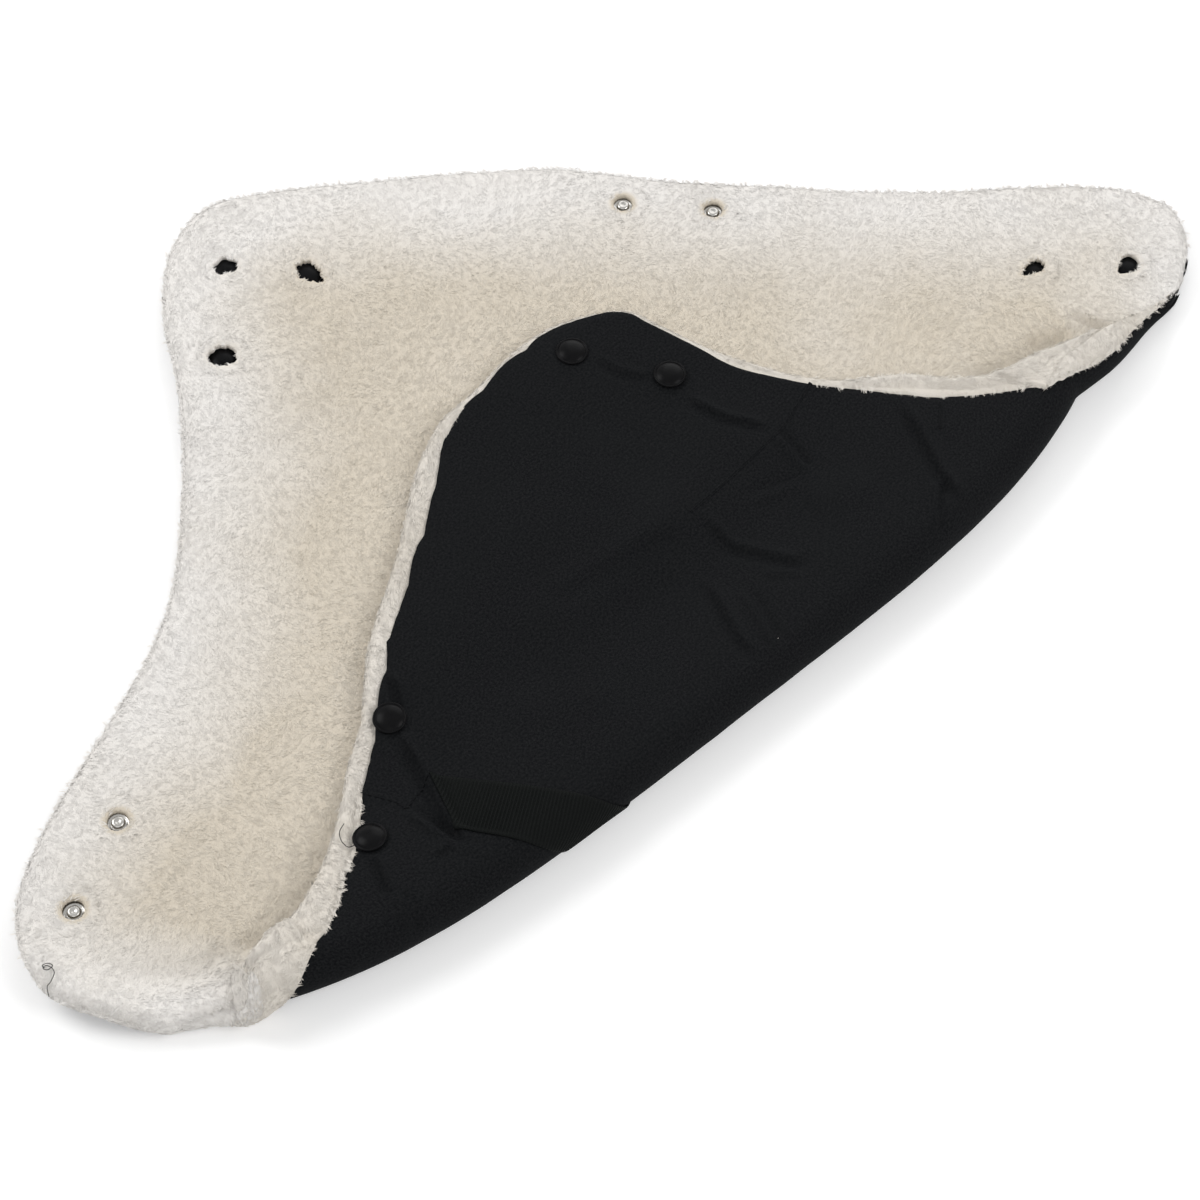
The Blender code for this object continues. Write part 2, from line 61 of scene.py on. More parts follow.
# The woven shell under the flat part: a thin dense polyester cloth, cut to the sheet's outline and turned
# in at the edge. It lies on the ground, and is raised over the snaps and where the edge curls.
SHELL_THICKNESS = 0.0008
LINING_THICKNESS = 0.0070
CLOTH_GAP = 0.0004
LINING_LOW = SHELL_THICKNESS + CLOTH_GAP
CLOTH_STACK = LINING_LOW + LINING_THICKNESS
FOLD_ANGLE = np.radians(41.0)
ALONG = np.array([np.cos(FOLD_ANGLE), np.sin(FOLD_ANGLE)])
OUTWARD = np.array([ALONG[1], -ALONG[0]])
UP = np.array([0.0, 0.0, 1.0])
FOLD_HALF_LENGTH = 0.231
FOLD_BOW = 0.024
FLOOR_START, FLOOR_END = -0.256, 0.313
FLOOR_RIM = 0.004
BASE_EDGE = np.array([
    (-0.175, -0.212), (-0.200, -0.208), (-0.228, -0.196), (-0.243, -0.162), (-0.236, -0.122),
    (-0.212, -0.066), (-0.192, -0.010), (-0.189, 0.050), (-0.194, 0.105), (-0.205, 0.155),
    (-0.202, 0.196), (-0.178, 0.221), (-0.110, 0.235), (-0.035, 0.241), (0.040, 0.232),
    (0.100, 0.229), (0.170, 0.228), (0.235, 0.230), (0.268, 0.220), (0.278, 0.196), (0.275, 0.174),
])
BASE_RIM = [0.004, 0.003, 0.003, 0.003, 0.002]
SNAP_LIFT = 0.0030
LIFT_FLAT, LIFT_REACH = 0.028, 0.065
PILE_CAPS = np.array([(-0.177, 0.180), (-0.138, 0.177), (-0.175, 0.127), (0.205, 0.179), (0.250, 0.181)])
PILE_STUDS = np.array([(0.011, 0.218), (0.054, 0.214), (-0.204, -0.116), (-0.219, -0.158)])
CURLS = [
    ((-0.238, -0.188), (-0.202, -0.210), 0.005, 0.026),
    ((0.279, 0.206), (0.276, 0.186), 0.004, 0.022),
    ((-0.200, 0.214), (-0.184, 0.222), 0.002, 0.022),
]


def ease(share):
    """A share from 0 to 1 that starts and ends level: three times its square less twice its cube."""
    share = np.clip(share, 0.0, 1.0)
    return share * share * (3.0 - 2.0 * share)


def mix(start, end, share):
    """Start plus a share of the way from start to end."""
    return start + (end - start) * share


def unit(vectors):
    """The vectors divided by their lengths."""
    return vectors / np.linalg.norm(vectors, axis=-1)[..., None]


def between(first, second, steps):
    """Rows of points from one line to another: the first plus even shares of the way to the second."""
    return first[:, None] + (second - first)[:, None] * np.linspace(0.0, 1.0, steps)[None, :, None]


def curve_through(points, share):
    """A cubic through all the points, whose slope at each is half the step between its two neighbours."""
    points = np.asarray(points, float)
    place = np.asarray(share, float) * (len(points) - 1)
    first = np.clip(place.astype(int), 0, len(points) - 2)
    t = (place - first).reshape(place.shape + (1,) * (points.ndim - 1))
    a, b, c, d = [points[np.clip(first + k, 0, len(points) - 1)] for k in (-1, 0, 1, 2)]
    return 0.5 * (2.0 * b + (c - a) * t + (2.0 * a - 5.0 * b + 4.0 * c - d) * t ** 2
                  + (3.0 * b - a - 3.0 * c + d) * t ** 3)


edge_line = curve_through(BASE_EDGE, np.linspace(0.0, 1.0, 400))
MIDDLE = 0.5 * (edge_line.min(axis=0) + edge_line.max(axis=0))
FOLD_MIDDLE = np.array([0.0365, -0.0382]) - MIDDLE


def raised(flat, height):
    """Places on the plan with a height each, as points."""
    flat = np.asarray(flat, float)
    return np.concatenate([flat, np.broadcast_to(height, flat.shape[:-1])[..., None]], axis=-1)


def bow(along):
    """How far the crest bows out from the hinge line: most at the middle, falling with the fourth power."""
    return FOLD_BOW * (1.0 - np.minimum(np.abs(along) / FOLD_HALF_LENGTH, 1.0) ** 4)


def by_fold(along, outward):
    """Places on the plan from the distances along the hinge line and out from it."""
    along, outward = np.broadcast_arrays(along, outward)
    return FOLD_MIDDLE + along[..., None] * ALONG + outward[..., None] * OUTWARD


def ridge(flat, start, end, height, reach):
    """A soft ridge along a line: its height eased to nothing at the reach from the line."""
    first, line = np.array(start) - MIDDLE, np.array(end) - np.array(start)
    share = np.clip((flat - first) @ line / (line @ line), 0.0, 1.0)
    return height * ease(1.0 - np.linalg.norm(flat - first - share[..., None] * line, axis=-1) / reach)


def ground_rise(flat):
    """How high the shell is off the ground: one less the product of eased distances, plus the curls."""
    sunk = 1.0
    for place in (*PILE_CAPS, *PILE_STUDS):
        distance = np.linalg.norm(flat - (place - MIDDLE), axis=-1)
        sunk = sunk * ease((distance - LIFT_FLAT) / (LIFT_REACH - LIFT_FLAT))
    return SNAP_LIFT * (1.0 - sunk) + sum(ridge(flat, *curl) for curl in CURLS)


def add_piece(name, points, faces, material, body, sharp=None):
    """A mesh that faces outwards, from its points and from its faces in arrays, one for each side count.

    The signed volume, a sixth of the sum of each face fan's triple products, says if it has to be turned.
    """
    points = np.asarray(points, np.float32).reshape(-1, 3)
    faces = [np.asarray(group, np.int32) for group in faces if len(group)]
    volume = 0.0
    for group in faces:
        a = points[group[:, 0]].astype(float)
        for k in range(1, group.shape[1] - 1):
            b, c = points[group[:, k]].astype(float), points[group[:, k + 1]].astype(float)
            volume += np.einsum("ij,ij->", a, np.cross(b, c))
    if volume < 0.0:
        faces = [group[:, ::-1] for group in faces]
    sides = np.concatenate([np.full(len(group), group.shape[1]) for group in faces])
    corners = np.concatenate([group.ravel() for group in faces])
    mesh = bpy.data.meshes.new(name)
    mesh.vertices.add(len(points))
    mesh.vertices.foreach_set("co", points.ravel())
    mesh.loops.add(len(corners))
    mesh.loops.foreach_set("vertex_index", corners)
    mesh.polygons.add(len(sides))
    mesh.polygons.foreach_set("loop_start", np.concatenate([[0], np.cumsum(sides)[:-1]]).astype(np.int32))
    mesh.update(calc_edges=True)
    mesh.shade_smooth()
    if sharp:
        mesh.set_sharp_from_angle(angle=np.radians(sharp))
    mesh.materials.append(material)
    piece = bpy.data.objects.new(name, mesh)
    bpy.context.scene.collection.objects.link(piece)
    if body:
        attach(piece, body)
    return piece


def ring_faces(count, size, closed=False):
    """Quads that join each ring of points to the next: count rings, each of size points."""
    ring = np.arange(count if closed else count - 1)[:, None] * size
    k, after = np.arange(size)[None], (np.arange(size)[None] + 1) % size
    following = (ring + size) % (count * size)
    return np.stack([ring + k, ring + after, following + after, following + k], -1).reshape(-1, 4)


def slab_faces(columns, rows):
    """Quads of a closed slab whose rings run down one face and back up the other, with strips as its ends."""
    size = 2 * rows
    k = np.arange(rows - 1)
    end = np.stack([k, k + 1, size - 2 - k, size - 1 - k], -1)
    last = (columns - 1) * size
    return [ring_faces(columns, size), end[:, ::-1], end + last]


def tube_faces(count, size):
    """Quads of a tube of count rings, each of size points, with one face over each of its ends."""
    end = np.arange(size)[None]
    return [ring_faces(count, size), end[:, ::-1], end + (count - 1) * size]


def slab_rings(face, back):
    """The rings of a slab, each down a column of its face and up the same column of its back."""
    return np.concatenate([face, back[:, ::-1]], axis=1)


def cloth_map(piece, values, name="cloth"):
    """A UV map that holds two numbers for each vertex: its place on the cloth, in metres."""
    corners = np.empty(len(piece.data.loops), np.int32)
    piece.data.loops.foreach_get("vertex_index", corners)
    layer = piece.data.uv_layers.new(name=name)
    layer.data.foreach_set("uv", np.asarray(values, np.float32).reshape(-1, 2)[corners].ravel())


def declare_cloth(values):
    """Works out, from a cloth's grid of places when laid flat, the box round them and their quads' area, and
    the smaller of the two, which it does not keep.
    """
    run, fall = values[1:, :-1] - values[:-1, :-1], values[:-1, 1:] - values[:-1, :-1]
    area = np.abs(run[..., 0] * fall[..., 1] - run[..., 1] * fall[..., 0]).sum()
    size = np.ptp(values.reshape(-1, 2), axis=0)
    min(area, size.prod())


class Wire:
    """One value in a material. + - and * on it add Math nodes, and node() adds any other node."""

    def __init__(self, tree, socket=None):
        self.tree, self.socket = tree, socket

    def node(self, kind, settings, inputs, output=0):
        made = self.tree.nodes.new(kind)
        for name, value in settings.items():
            setattr(made, name, value)
        for name, value in inputs.items():
            if isinstance(value, Wire):
                self.tree.links.new(value.socket, made.inputs[name])
            else:
                made.inputs[name].default_value = value
        return Wire(self.tree, made.outputs[output])

    def math(self, operation, first, second=0.0, clamp=False):
        settings = {"operation": operation, "use_clamp": clamp}
        return self.node("ShaderNodeMath", settings, {0: first, 1: second})

    def __add__(self, other):
        return self.math("ADD", self, other)

    def __sub__(self, other):
        return self.math("SUBTRACT", self, other)

    def __mul__(self, other):
        return self.math("MULTIPLY", self, other)


def new_finish(name, **sockets):
    """A material, its tree as an empty Wire, and its shader with the given sockets set."""
    material = bpy.data.materials.new(name)
    material.use_nodes = True
    shader = material.node_tree.nodes["Principled BSDF"]
    for socket, value in sockets.items():
        shader.inputs[socket.replace("_", " ")].default_value = value
    return material, Wire(material.node_tree), shader


def lead(wire, shader, socket):
    """Links a wire to a socket of the shader."""
    wire.tree.links.new(wire.socket, shader.inputs[socket])


def add_bump(shader, strength, distance, height):
    """Leads a Bump node that raises the surface by a height to the shader's Normal."""
    inputs = {"Strength": strength, "Distance": distance, "Height": height}
    lead(height.node("ShaderNodeBump", {}, inputs), shader, "Normal")


def blend_colors(tree, share, first, second):
    """The Mix node's colour between two colours, each a wire or three numbers."""
    first, second = [color if isinstance(color, Wire) else (*color, 1.0) for color in (first, second)]
    return tree.node("ShaderNodeMix", {"data_type": "RGBA"}, {0: share, 6: first, 7: second}, 2)


def noise(tree, place, scale, detail=2.0, roughness=0.5):
    """The Noise texture's value at a place."""
    return tree.node("ShaderNodeTexNoise", {},
                     {"Vector": place, "Scale": scale, "Detail": detail, "Roughness": roughness})


THREAD_PITCH = 0.00065


def shell_finish():
    """Black plain weave: fine threads both ways, uneven slubs, and a dusty bloom in the colour."""
    material, tree, shader = new_finish("woven_black", Roughness=0.8, Specular_IOR_Level=0.04)
    cloth = tree.node("ShaderNodeUVMap", {"uv_map": "cloth"}, {})
    place = tree.node("ShaderNodeTexCoord", {}, {}, 3)
    across, down = [tree.node("ShaderNodeSeparateXYZ", {}, {0: cloth}, k) for k in (0, 1)]
    thread = 2.0 * np.pi / THREAD_PITCH
    weave = tree.math("SINE", across * thread) * tree.math("SINE", down * thread)
    slub = noise(tree, cloth, 900.0, 3.0, 0.7)
    bloom = noise(tree, place, 22.0, 4.0, 0.6)
    color = blend_colors(tree, bloom, (0.0024, 0.0029, 0.0036), (0.0052, 0.0057, 0.0065))
    grain = tree.math("MULTIPLY", slub - 0.38, 2.6, clamp=True)
    lead(blend_colors(tree, grain, color, (0.0165, 0.0170, 0.0178)), shader, "Base Color")
    lead(slub * 0.22 + 0.66, shader, "Roughness")
    add_bump(shader, 0.35, 0.0003, weave * 0.35 + slub * 0.8)
    return material


woven_black = shell_finish()


def add_shell(name, face, back, places, body, sharp=None):
    """A slab of the woven shell from its face and its back, and each point's place on the cloth."""
    piece = add_piece(name, slab_rings(face, back), slab_faces(*face.shape[:2]), woven_black, body,
                      sharp)
    cloth_map(piece, slab_rings(places, places))
    return piece


CUT_EDGE = 60.0
# How far the shell's edge is drawn in at its near end, and let out at its far end.
DRAWN_IN, LET_OUT = 0.0060, 0.0062
COLUMNS, ROWS = 220, 44
share = np.linspace(0.0, 1.0, COLUMNS)
rim = curve_through(BASE_RIM, share)
rim = rim + DRAWN_IN * ease((0.05 - share) / 0.05) - LET_OUT * ease((share - 0.958) / 0.026)
along = mix(FLOOR_START + 3.0 * FLOOR_RIM, FLOOR_END - 0.0005, share)
inner = by_fold(along, -bow(along) - CLOTH_GAP)
outer = curve_through(BASE_EDGE, share) - MIDDLE
outer = outer - unit(outer - inner) * rim[:, None]
flat = between(inner, outer, ROWS)
low = raised(flat, ground_rise(flat))
base_shell = add_shell("shell_flat", low, low + SHELL_THICKNESS * UP, flat, "base", CUT_EDGE)
declare_cloth(flat)
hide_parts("base_shell")

# The pile lining of the flat part: thick knitted fleece, sewn to the shell at the edge, where it rolls over.
# Its body is combed into low waves, and pressed down where a snap goes through it.
PILE_THICKNESS = 0.0064
EDGE_ROUND = 0.0070
POCKET_RADIUS = 0.0088
POCKET_EDGE = 0.0104
POCKET_DEPTH = 0.0052


def clouds(x, y, size, seed):
    """Smooth noise from -1 to 1: random values at the corners of square cells, eased across each cell."""
    table = np.random.default_rng(seed).uniform(-1.0, 1.0, (128, 128))
    gx, gy = np.asarray(x) / size, np.asarray(y) / size
    ix, iy = np.floor(gx).astype(int), np.floor(gy).astype(int)
    fx, fy = ease(gx - ix), ease(gy - iy)
    a, b = table[ix % 128, iy % 128], table[(ix + 1) % 128, iy % 128]
    c, d = table[ix % 128, (iy + 1) % 128], table[(ix + 1) % 128, (iy + 1) % 128]
    return mix(mix(a, b, fx), mix(c, d, fx), fy)


def combed(flat):
    """The waves of the pile: broad swells, tufts and small tufts added together, in metres."""
    x, y = flat[..., 0], flat[..., 1]
    return (0.0008 * clouds(x, y, 0.055, 3) + 0.00028 * clouds(x, y, 0.0105, 4)
            + 0.00016 * clouds(x, y, 0.0048, 5))


def pocket(flat):
    """How far the pile is pressed down round the snaps: all of it inside the pocket, easing to its edge."""
    pressed = np.zeros(flat.shape[:-1])
    for place in (*PILE_CAPS, *PILE_STUDS):
        distance = np.linalg.norm(flat - (place - MIDDLE), axis=-1)
        pressed = np.maximum(pressed, 1.0 - ease((distance - POCKET_RADIUS) / (POCKET_EDGE - POCKET_RADIUS)))
    return POCKET_DEPTH * pressed


def end_round(distance):
    """The height of a half circle at a distance in from its end, as a share of its radius."""
    share = 1.0 - np.clip(distance / EDGE_ROUND, 0.0, 1.0)
    return np.sqrt(1.0 - share * share)


def pile_finish(name, strands):
    """Cream fleece, with painted shade: darker and yellower in the sheet's middle, where the attribute of
    tone and shade is 1, than at its edges. Thin curved partings, where a noise passes its middle value, are
    painted shade on the body. The body is painted darker than the strands, as shade deep in the pile, and the
    strands are painted a little darker towards their roots."""
    material, tree, shader = new_finish(name, Roughness=0.9, Specular_IOR_Level=0.10)
    place = tree.node("ShaderNodeTexCoord", {}, {}, 3)
    tone = tree.node("ShaderNodeAttribute", {"attribute_name": "tone"}, {}, 2)
    stain = noise(tree, place, 26.0, 3.0, 0.6)
    depth = tree.math("ADD", tone, (stain - 0.5) * 0.5, clamp=True)
    light = blend_colors(tree, depth, (0.865, 0.838, 0.806), (0.735, 0.670, 0.570))
    dark = blend_colors(tree, depth, (0.770, 0.738, 0.690), (0.480, 0.410, 0.310))
    hair = noise(tree, place, 1500.0, 3.0, 0.7)
    if strands:
        # The strands are painted a little darker towards their roots, as shade deep in the pile.
        tip = tree.node("ShaderNodeAttribute", {"attribute_name": "tip"}, {}, 2)
        tint = tree.node("ShaderNodeAttribute", {"attribute_name": "tint"}, {}, 2)
        share = tree.math("ADD", tint * 0.9 + tip * 0.06, hair * 0.1, clamp=True)
    else:
        # The partings are painted shade in the body's colour, and the body is painted darker than the
        # strands, as shade deep in the pile.
        parting = noise(tree, place, 560.0, 1.5, 0.5)
        near = tree.math("ABSOLUTE", parting - 0.5)
        patch = noise(tree, place, 150.0, 2.0, 0.6)
        line = tree.math("MULTIPLY", tree.math("SUBTRACT", 1.0, near * 22.0, clamp=True), patch, clamp=True)
        share = tree.math("SUBTRACT", hair * 0.2 + 0.66, line * 0.3, clamp=True)
        add_bump(shader, 0.5, 0.0006, hair - line * 0.8)
    lead(blend_colors(tree, share, dark, light), shader, "Base Color")
    return material


def add_values(piece, name, values):
    """An attribute of one number for each vertex."""
    layer = piece.data.attributes.new(name, "FLOAT", "POINT")
    layer.data.foreach_set("value", np.ravel(values).astype(np.float32))


# The pile is painted darker and yellower away from the sheet's edge, as the shade of the turned corner in its
# middle: where this painted shade starts, and how far in it reaches its full depth.
SHADE_START, SHADE_REACH = 0.004, 0.078
# Patches of painted shade, darker and yellower, mostly left of the turned corner and past its far end, and of
# painted light where the share is below 0: place, reach and share.
SHADE_PATCHES = [
    (-0.150, -0.150, 0.050, 0.55), (-0.125, -0.095, 0.045, 0.40), (-0.125, 0.020, 0.050, 0.20),
    (0.198, 0.134, 0.030, 0.7), (-0.190, 0.205, 0.060, -0.4), (-0.060, 0.225, 0.060, -0.2),
    (0.245, 0.165, 0.030, 0.2), (-0.200, -0.150, 0.080, 0.20), (-0.170, 0.030, 0.060, 0.15),
    (0.100, 0.140, 0.050, -0.15),
]


def tone_and_shade_of(points):
    """How deep the pile's painted shade is, darker and yellower: a share that grows with the distance from
    the edge, plus the patches.
    """
    flat = np.reshape(points, (-1, 3))[:, :2] + MIDDLE
    nearest = np.full(len(flat), np.inf)
    for x, y in edge_line[::4]:
        nearest = np.minimum(nearest, np.hypot(flat[:, 0] - x, flat[:, 1] - y))
    tone = ease((nearest - SHADE_START) / SHADE_REACH)
    for x, y, reach, share in SHADE_PATCHES:
        tone = tone + share * ease(1.0 - np.hypot(flat[:, 0] - x, flat[:, 1] - y) / reach)
    return tone


pile_body = pile_finish("pile_body", False)
pile_hair = pile_finish("pile_hair", True)
COLUMNS, TOP_ROWS, ARC_ROWS, UNDER_ROWS = 400, 160, 12, 5
share = np.linspace(0.0, 1.0, COLUMNS)
along = mix(FLOOR_START, FLOOR_END, share)
inner = by_fold(along, -bow(along) - CLOTH_GAP)
outer = curve_through(BASE_EDGE, share) - MIDDLE
line = outer - inner
outer_way = unit(line)
reach = np.minimum(EDGE_ROUND, 0.4 * np.linalg.norm(line, axis=1))
inset = outer - outer_way * reach[:, None]
ends = end_round(np.minimum(along - FLOOR_START, FLOOR_END - along))

# Ridges of the edge pile along its corner by the fold, and the hollows inside them: ends, height and reach.
EDGE_ROLLS = [
    ((-0.242, -0.165), (-0.236, -0.182), 0.0014, 0.011),
    ((-0.236, -0.182), (-0.214, -0.199), 0.0026, 0.013),
    ((-0.214, -0.199), (-0.186, -0.206), 0.0034, 0.013),
    ((-0.186, -0.206), (-0.160, -0.203), 0.0048, 0.014),
    ((-0.163, -0.203), (-0.152, -0.196), 0.0075, 0.016),
    ((-0.154, -0.199), (-0.150, -0.188), 0.0075, 0.013),
]
EDGE_HOLLOWS = [
    ((-0.222, -0.178), (-0.200, -0.188), 0.0012, 0.012),
    ((-0.200, -0.188), (-0.172, -0.190), 0.0014, 0.012),
    ((-0.172, -0.190), (-0.155, -0.182), 0.0016, 0.012),
    ((0.236, 0.150), (0.229, 0.138), 0.0018, 0.009),
    ((0.229, 0.138), (0.205, 0.134), 0.0022, 0.009),
]


def base_faces(flat, ends):
    """Heights of the lining's upper and lower face, drawn together towards the ends of the sheet."""
    lower = ground_rise(flat) + LINING_LOW
    rolled = np.max([ridge(flat, *roll) for roll in EDGE_ROLLS], axis=0)
    hollow = np.max([ridge(flat, *line) for line in EDGE_HOLLOWS], axis=0)
    upper = lower + PILE_THICKNESS + combed(flat) - pocket(flat) + rolled - hollow
    middle, half = 0.5 * (lower + upper), 0.5 * (upper - lower)
    return middle + half * ends, middle - half * ends


def round_edge(inset, way, reach, high, deep, arc):
    """Rows round an edge from its inset: the reach times the arc's sine out, half the height times its
    cosine up from the middle."""
    flat = inset[:, None] + way[:, None] * (reach[:, None] * np.sin(arc))[..., None]
    return raised(flat, 0.5 * (high + deep)[:, None] + 0.5 * (high - deep)[:, None] * np.cos(arc))


flat = between(inner, inset, TOP_ROWS)
top = raised(flat, base_faces(flat, ends[:, None])[0])
high, deep = base_faces(inset, ends)
edge_rows = round_edge(inset, outer_way, reach, high, deep, np.linspace(0.0, np.pi, ARC_ROWS + 2)[1:])
flat = between(inset, inner, UNDER_ROWS + 1)[:, 1:]
under = raised(flat, base_faces(flat, ends[:, None])[1])
rings = np.concatenate([top, edge_rows, under], axis=1)
size = rings.shape[1]
flat_kept = np.zeros((COLUMNS - 1, size), bool)
flat_kept[:, :TOP_ROWS + ARC_ROWS - 3] = True
pile_flat = add_piece("pile_flat", rings, tube_faces(COLUMNS, size), pile_body, "base")
add_values(pile_flat, "tone", tone_and_shade_of(rings))
sheet_edge, sheet_out = raised(outer, 0.5 * (high + deep) + 0.0015), raised(outer_way, 0.0)
declare_cloth(between(inner, outer, 20))
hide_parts("base_lining")

# The roll at the fold: the same two cloths, along the ground under the crest, half a turn up and over it.
# At both ends the pile stands out past the shell as a thick rolled rim.
ROLL_RADIUS = 0.013
# How much thinner the roll gets at its far end and at the last of it: share, where it starts and length.
FAR_TAPER, FAR_TAPER_START, FAR_TAPER_LENGTH = 0.60, 0.250, 0.050
END_TAPER, END_TAPER_START, END_TAPER_LENGTH = 0.22, 0.297, 0.018
CREST_START, CREST_END = -0.237, 0.262
FOLD_CREST_END = 0.300
FAR_SHELL_OUT = 0.0012
CREST_RIM_START, CREST_RIM_END = 0.028, 0.050
FLOOR_RIM_START = 0.017
TOP_START = 0.7
# How far up the roll the shell goes near the far end, where the pile comes over it: distance along, share up.
FAR_BARE = np.array([
    (0.2120, 1.0), (0.2215, 0.93), (0.2285, 0.82), (0.2420, 0.72), (0.2565, 0.70), (0.2730, 0.78),
    (0.2900, 0.86), (0.3100, 0.93),
])
REST_HEIGHT = 2.0 * CLOTH_STACK + 0.0005
SAG_LENGTH = 0.060
FLAP_FOLDS = [
    ((-0.074, -0.050), (-0.040, 0.020), 0.0022, 0.040),
    ((0.020, 0.020), (0.062, 0.070), 0.0026, 0.038),
    ((0.110, 0.050), (0.140, 0.085), 0.0020, 0.034),
]
# Each crease: points as distances along the fold and out from its crest, its height and its half width.
# A tuck rises on one side of its line and dips on the other.
TUCKS = [
    ([(0.1638, -0.0560), (0.1548, -0.0322), (0.1456, -0.0109), (0.1416, 0.0100)], 0.0022, 0.0028),
    ([(0.1456, -0.0109), (0.1212, 0.0090)], -0.0015, 0.0022),
    ([(0.0750, -0.1700), (0.0781, -0.1560), (0.0829, -0.1488), (0.0900, -0.1432)], 0.0013, 0.0022),
    ([(0.0912, -0.1270), (0.0968, -0.1043), (0.1095, -0.0840)], 0.0018, 0.0024),
    ([(0.1100, -0.0830), (0.1064, -0.0560)], -0.0018, 0.0024),
    ([(0.0532, -0.0760), (0.0525, -0.0516), (0.0667, -0.0238), (0.0800, -0.0262)], 0.0019, 0.0028),
    ([(0.0493, -0.0292), (0.0636, -0.0167)], 0.0007, 0.0024),
    ([(0.1016, -0.0561), (0.0737, -0.0660)], 0.0010, 0.0028),
    ([(0.0322, -0.0470), (0.0193, -0.0106), (0.0185, 0.0040)], 0.0019, 0.0028),
    ([(0.0410, -0.0310), (0.0290, 0.0060)], -0.0015, 0.0024),
    ([(0.0456, -0.0731), (0.0040, -0.0790), (-0.0323, -0.0846)], -0.0011, 0.0060),
    ([(-0.1033, -0.1010), (-0.1054, -0.0900), (-0.1091, -0.0825), (-0.1175, -0.0735)], 0.0022, 0.0022),
    ([(-0.1175, -0.0790), (-0.1226, -0.0534), (-0.1327, -0.0214), (-0.1330, 0.0040)], 0.0024, 0.0026),
    ([(-0.1395, -0.0420), (-0.1352, -0.0195), (-0.1315, 0.0000)], -0.0022, 0.0026),
    ([(-0.1477, -0.0111), (-0.1380, -0.0125)], 0.0011, 0.0022),
    ([(-0.1640, -0.0280), (-0.1728, -0.0050)], 0.0019, 0.0020),
    ([(-0.1679, -0.0060), (-0.1740, 0.0150)], -0.0013, 0.0022),
]
SWELLS = [
    ([(0.062, -0.090), (-0.001, -0.073), (-0.060, -0.082)], 0.0024, 0.0130),
    ([(-0.030, -0.020), (-0.085, -0.055)], 0.0015, 0.0120),
    ([(0.090, -0.045), (0.125, -0.030)], 0.0018, 0.0100),
    ([(0.020, -0.110), (0.060, -0.130)], 0.0012, 0.0140),
]


def roll_radius(along):
    """The roll's outer radius: it eases to less where the fold runs out at the far corner, in two steps."""
    far = ease((along - FAR_TAPER_START) / FAR_TAPER_LENGTH)
    end = ease((along - END_TAPER_START) / END_TAPER_LENGTH)
    return ROLL_RADIUS * (1.0 - FAR_TAPER * far - END_TAPER * end)


def near_rim(up):
    """How wide the pile stands out past the shell at the near end: more up the roll, by its share cubed."""
    return mix(FLOOR_RIM_START, CREST_RIM_START, up ** 3)


def shell_reach(along):
    """How far up the roll the shell goes, as a share of its half turn."""
    return np.interp(along, *FAR_BARE.T)


CREASE_TAPER = 0.25


def by_line(place, points):
    """Signed distance from a broken line, and a share that is 1 on it and eases to 0 at its two ends."""
    points = np.asarray(points, float)
    steps = np.linalg.norm(np.diff(points, axis=0), axis=1)
    passed = np.concatenate([[0.0], np.cumsum(steps)])
    best = np.full(place.shape[:-1], np.inf)
    side, run = np.zeros_like(best), np.zeros_like(best)
    for k, step in enumerate(steps):
        line = (points[k + 1] - points[k]) / step
        offset = place - points[k]
        down = np.clip(offset @ line, 0.0, step)
        off = offset - down[..., None] * line
        distance = np.linalg.norm(off, axis=-1)
        nearer = distance < best
        best = np.where(nearer, distance, best)
        side = np.where(nearer, np.sign(off[..., 0] * line[1] - off[..., 1] * line[0]), side)
        run = np.where(nearer, passed[k] + down, run)
    reach = CREASE_TAPER * passed[-1]
    return best * side, ease(run / reach) * ease((passed[-1] - run) / reach)


def creases(along, path):
    """How far the shell stands off its plain surface: tucks, soft swells, and a little noise."""
    along, path = np.broadcast_arrays(along, path)
    place = np.stack([along, path], -1)
    total = 0.0006 * clouds(along, path, 0.042, 11) + 0.00018 * clouds(along, path, 0.013, 12)
    for points, height, width in TUCKS:
        distance, taper = by_line(place, points)
        total = total + height * taper * (np.exp(-((distance / width - 0.6) ** 2))
                                          - np.exp(-((distance / width + 0.6) ** 2)))
    for points, height, width in SWELLS:
        distance, taper = by_line(place, points)
        total = total + height * taper * np.exp(-((distance / width) ** 2))
    return total


def flap_height(flat):
    """The corner's plain height: the crest's, eased down the sag to the rest height, plus its folds."""
    offset = flat - FOLD_MIDDLE
    sag = ease((bow(offset @ ALONG) - offset @ OUTWARD) / SAG_LENGTH)
    folds = sum(ridge(flat, *fold) for fold in FLAP_FOLDS)
    return mix(2.0 * roll_radius(offset @ ALONG), REST_HEIGHT, sag) + sag * folds


def plain_face(along, path, lift):
    """The shell's outer face: level with the turned corner where path is below 0, and else round the roll.

    Round the roll a point is the roll's middle plus its radius times the sine of the turn outwards and the
    cosine of the turn up.
    """
    along, path, lift = np.broadcast_arrays(along, path, lift)
    before = by_fold(along, bow(along) + np.minimum(path, 0.0))
    turn = np.maximum(path, 0.0) / ROLL_RADIUS
    middle = roll_radius(along)
    over = before + ((middle + lift) * np.sin(turn))[..., None] * OUTWARD
    height = np.where(path < 0.0, flap_height(before) + lift, middle + (middle + lift) * np.cos(turn))
    return raised(over, height)


def creased_face(along, path):
    """The plain face with its creases."""
    return plain_face(along, path, creases(along, path))


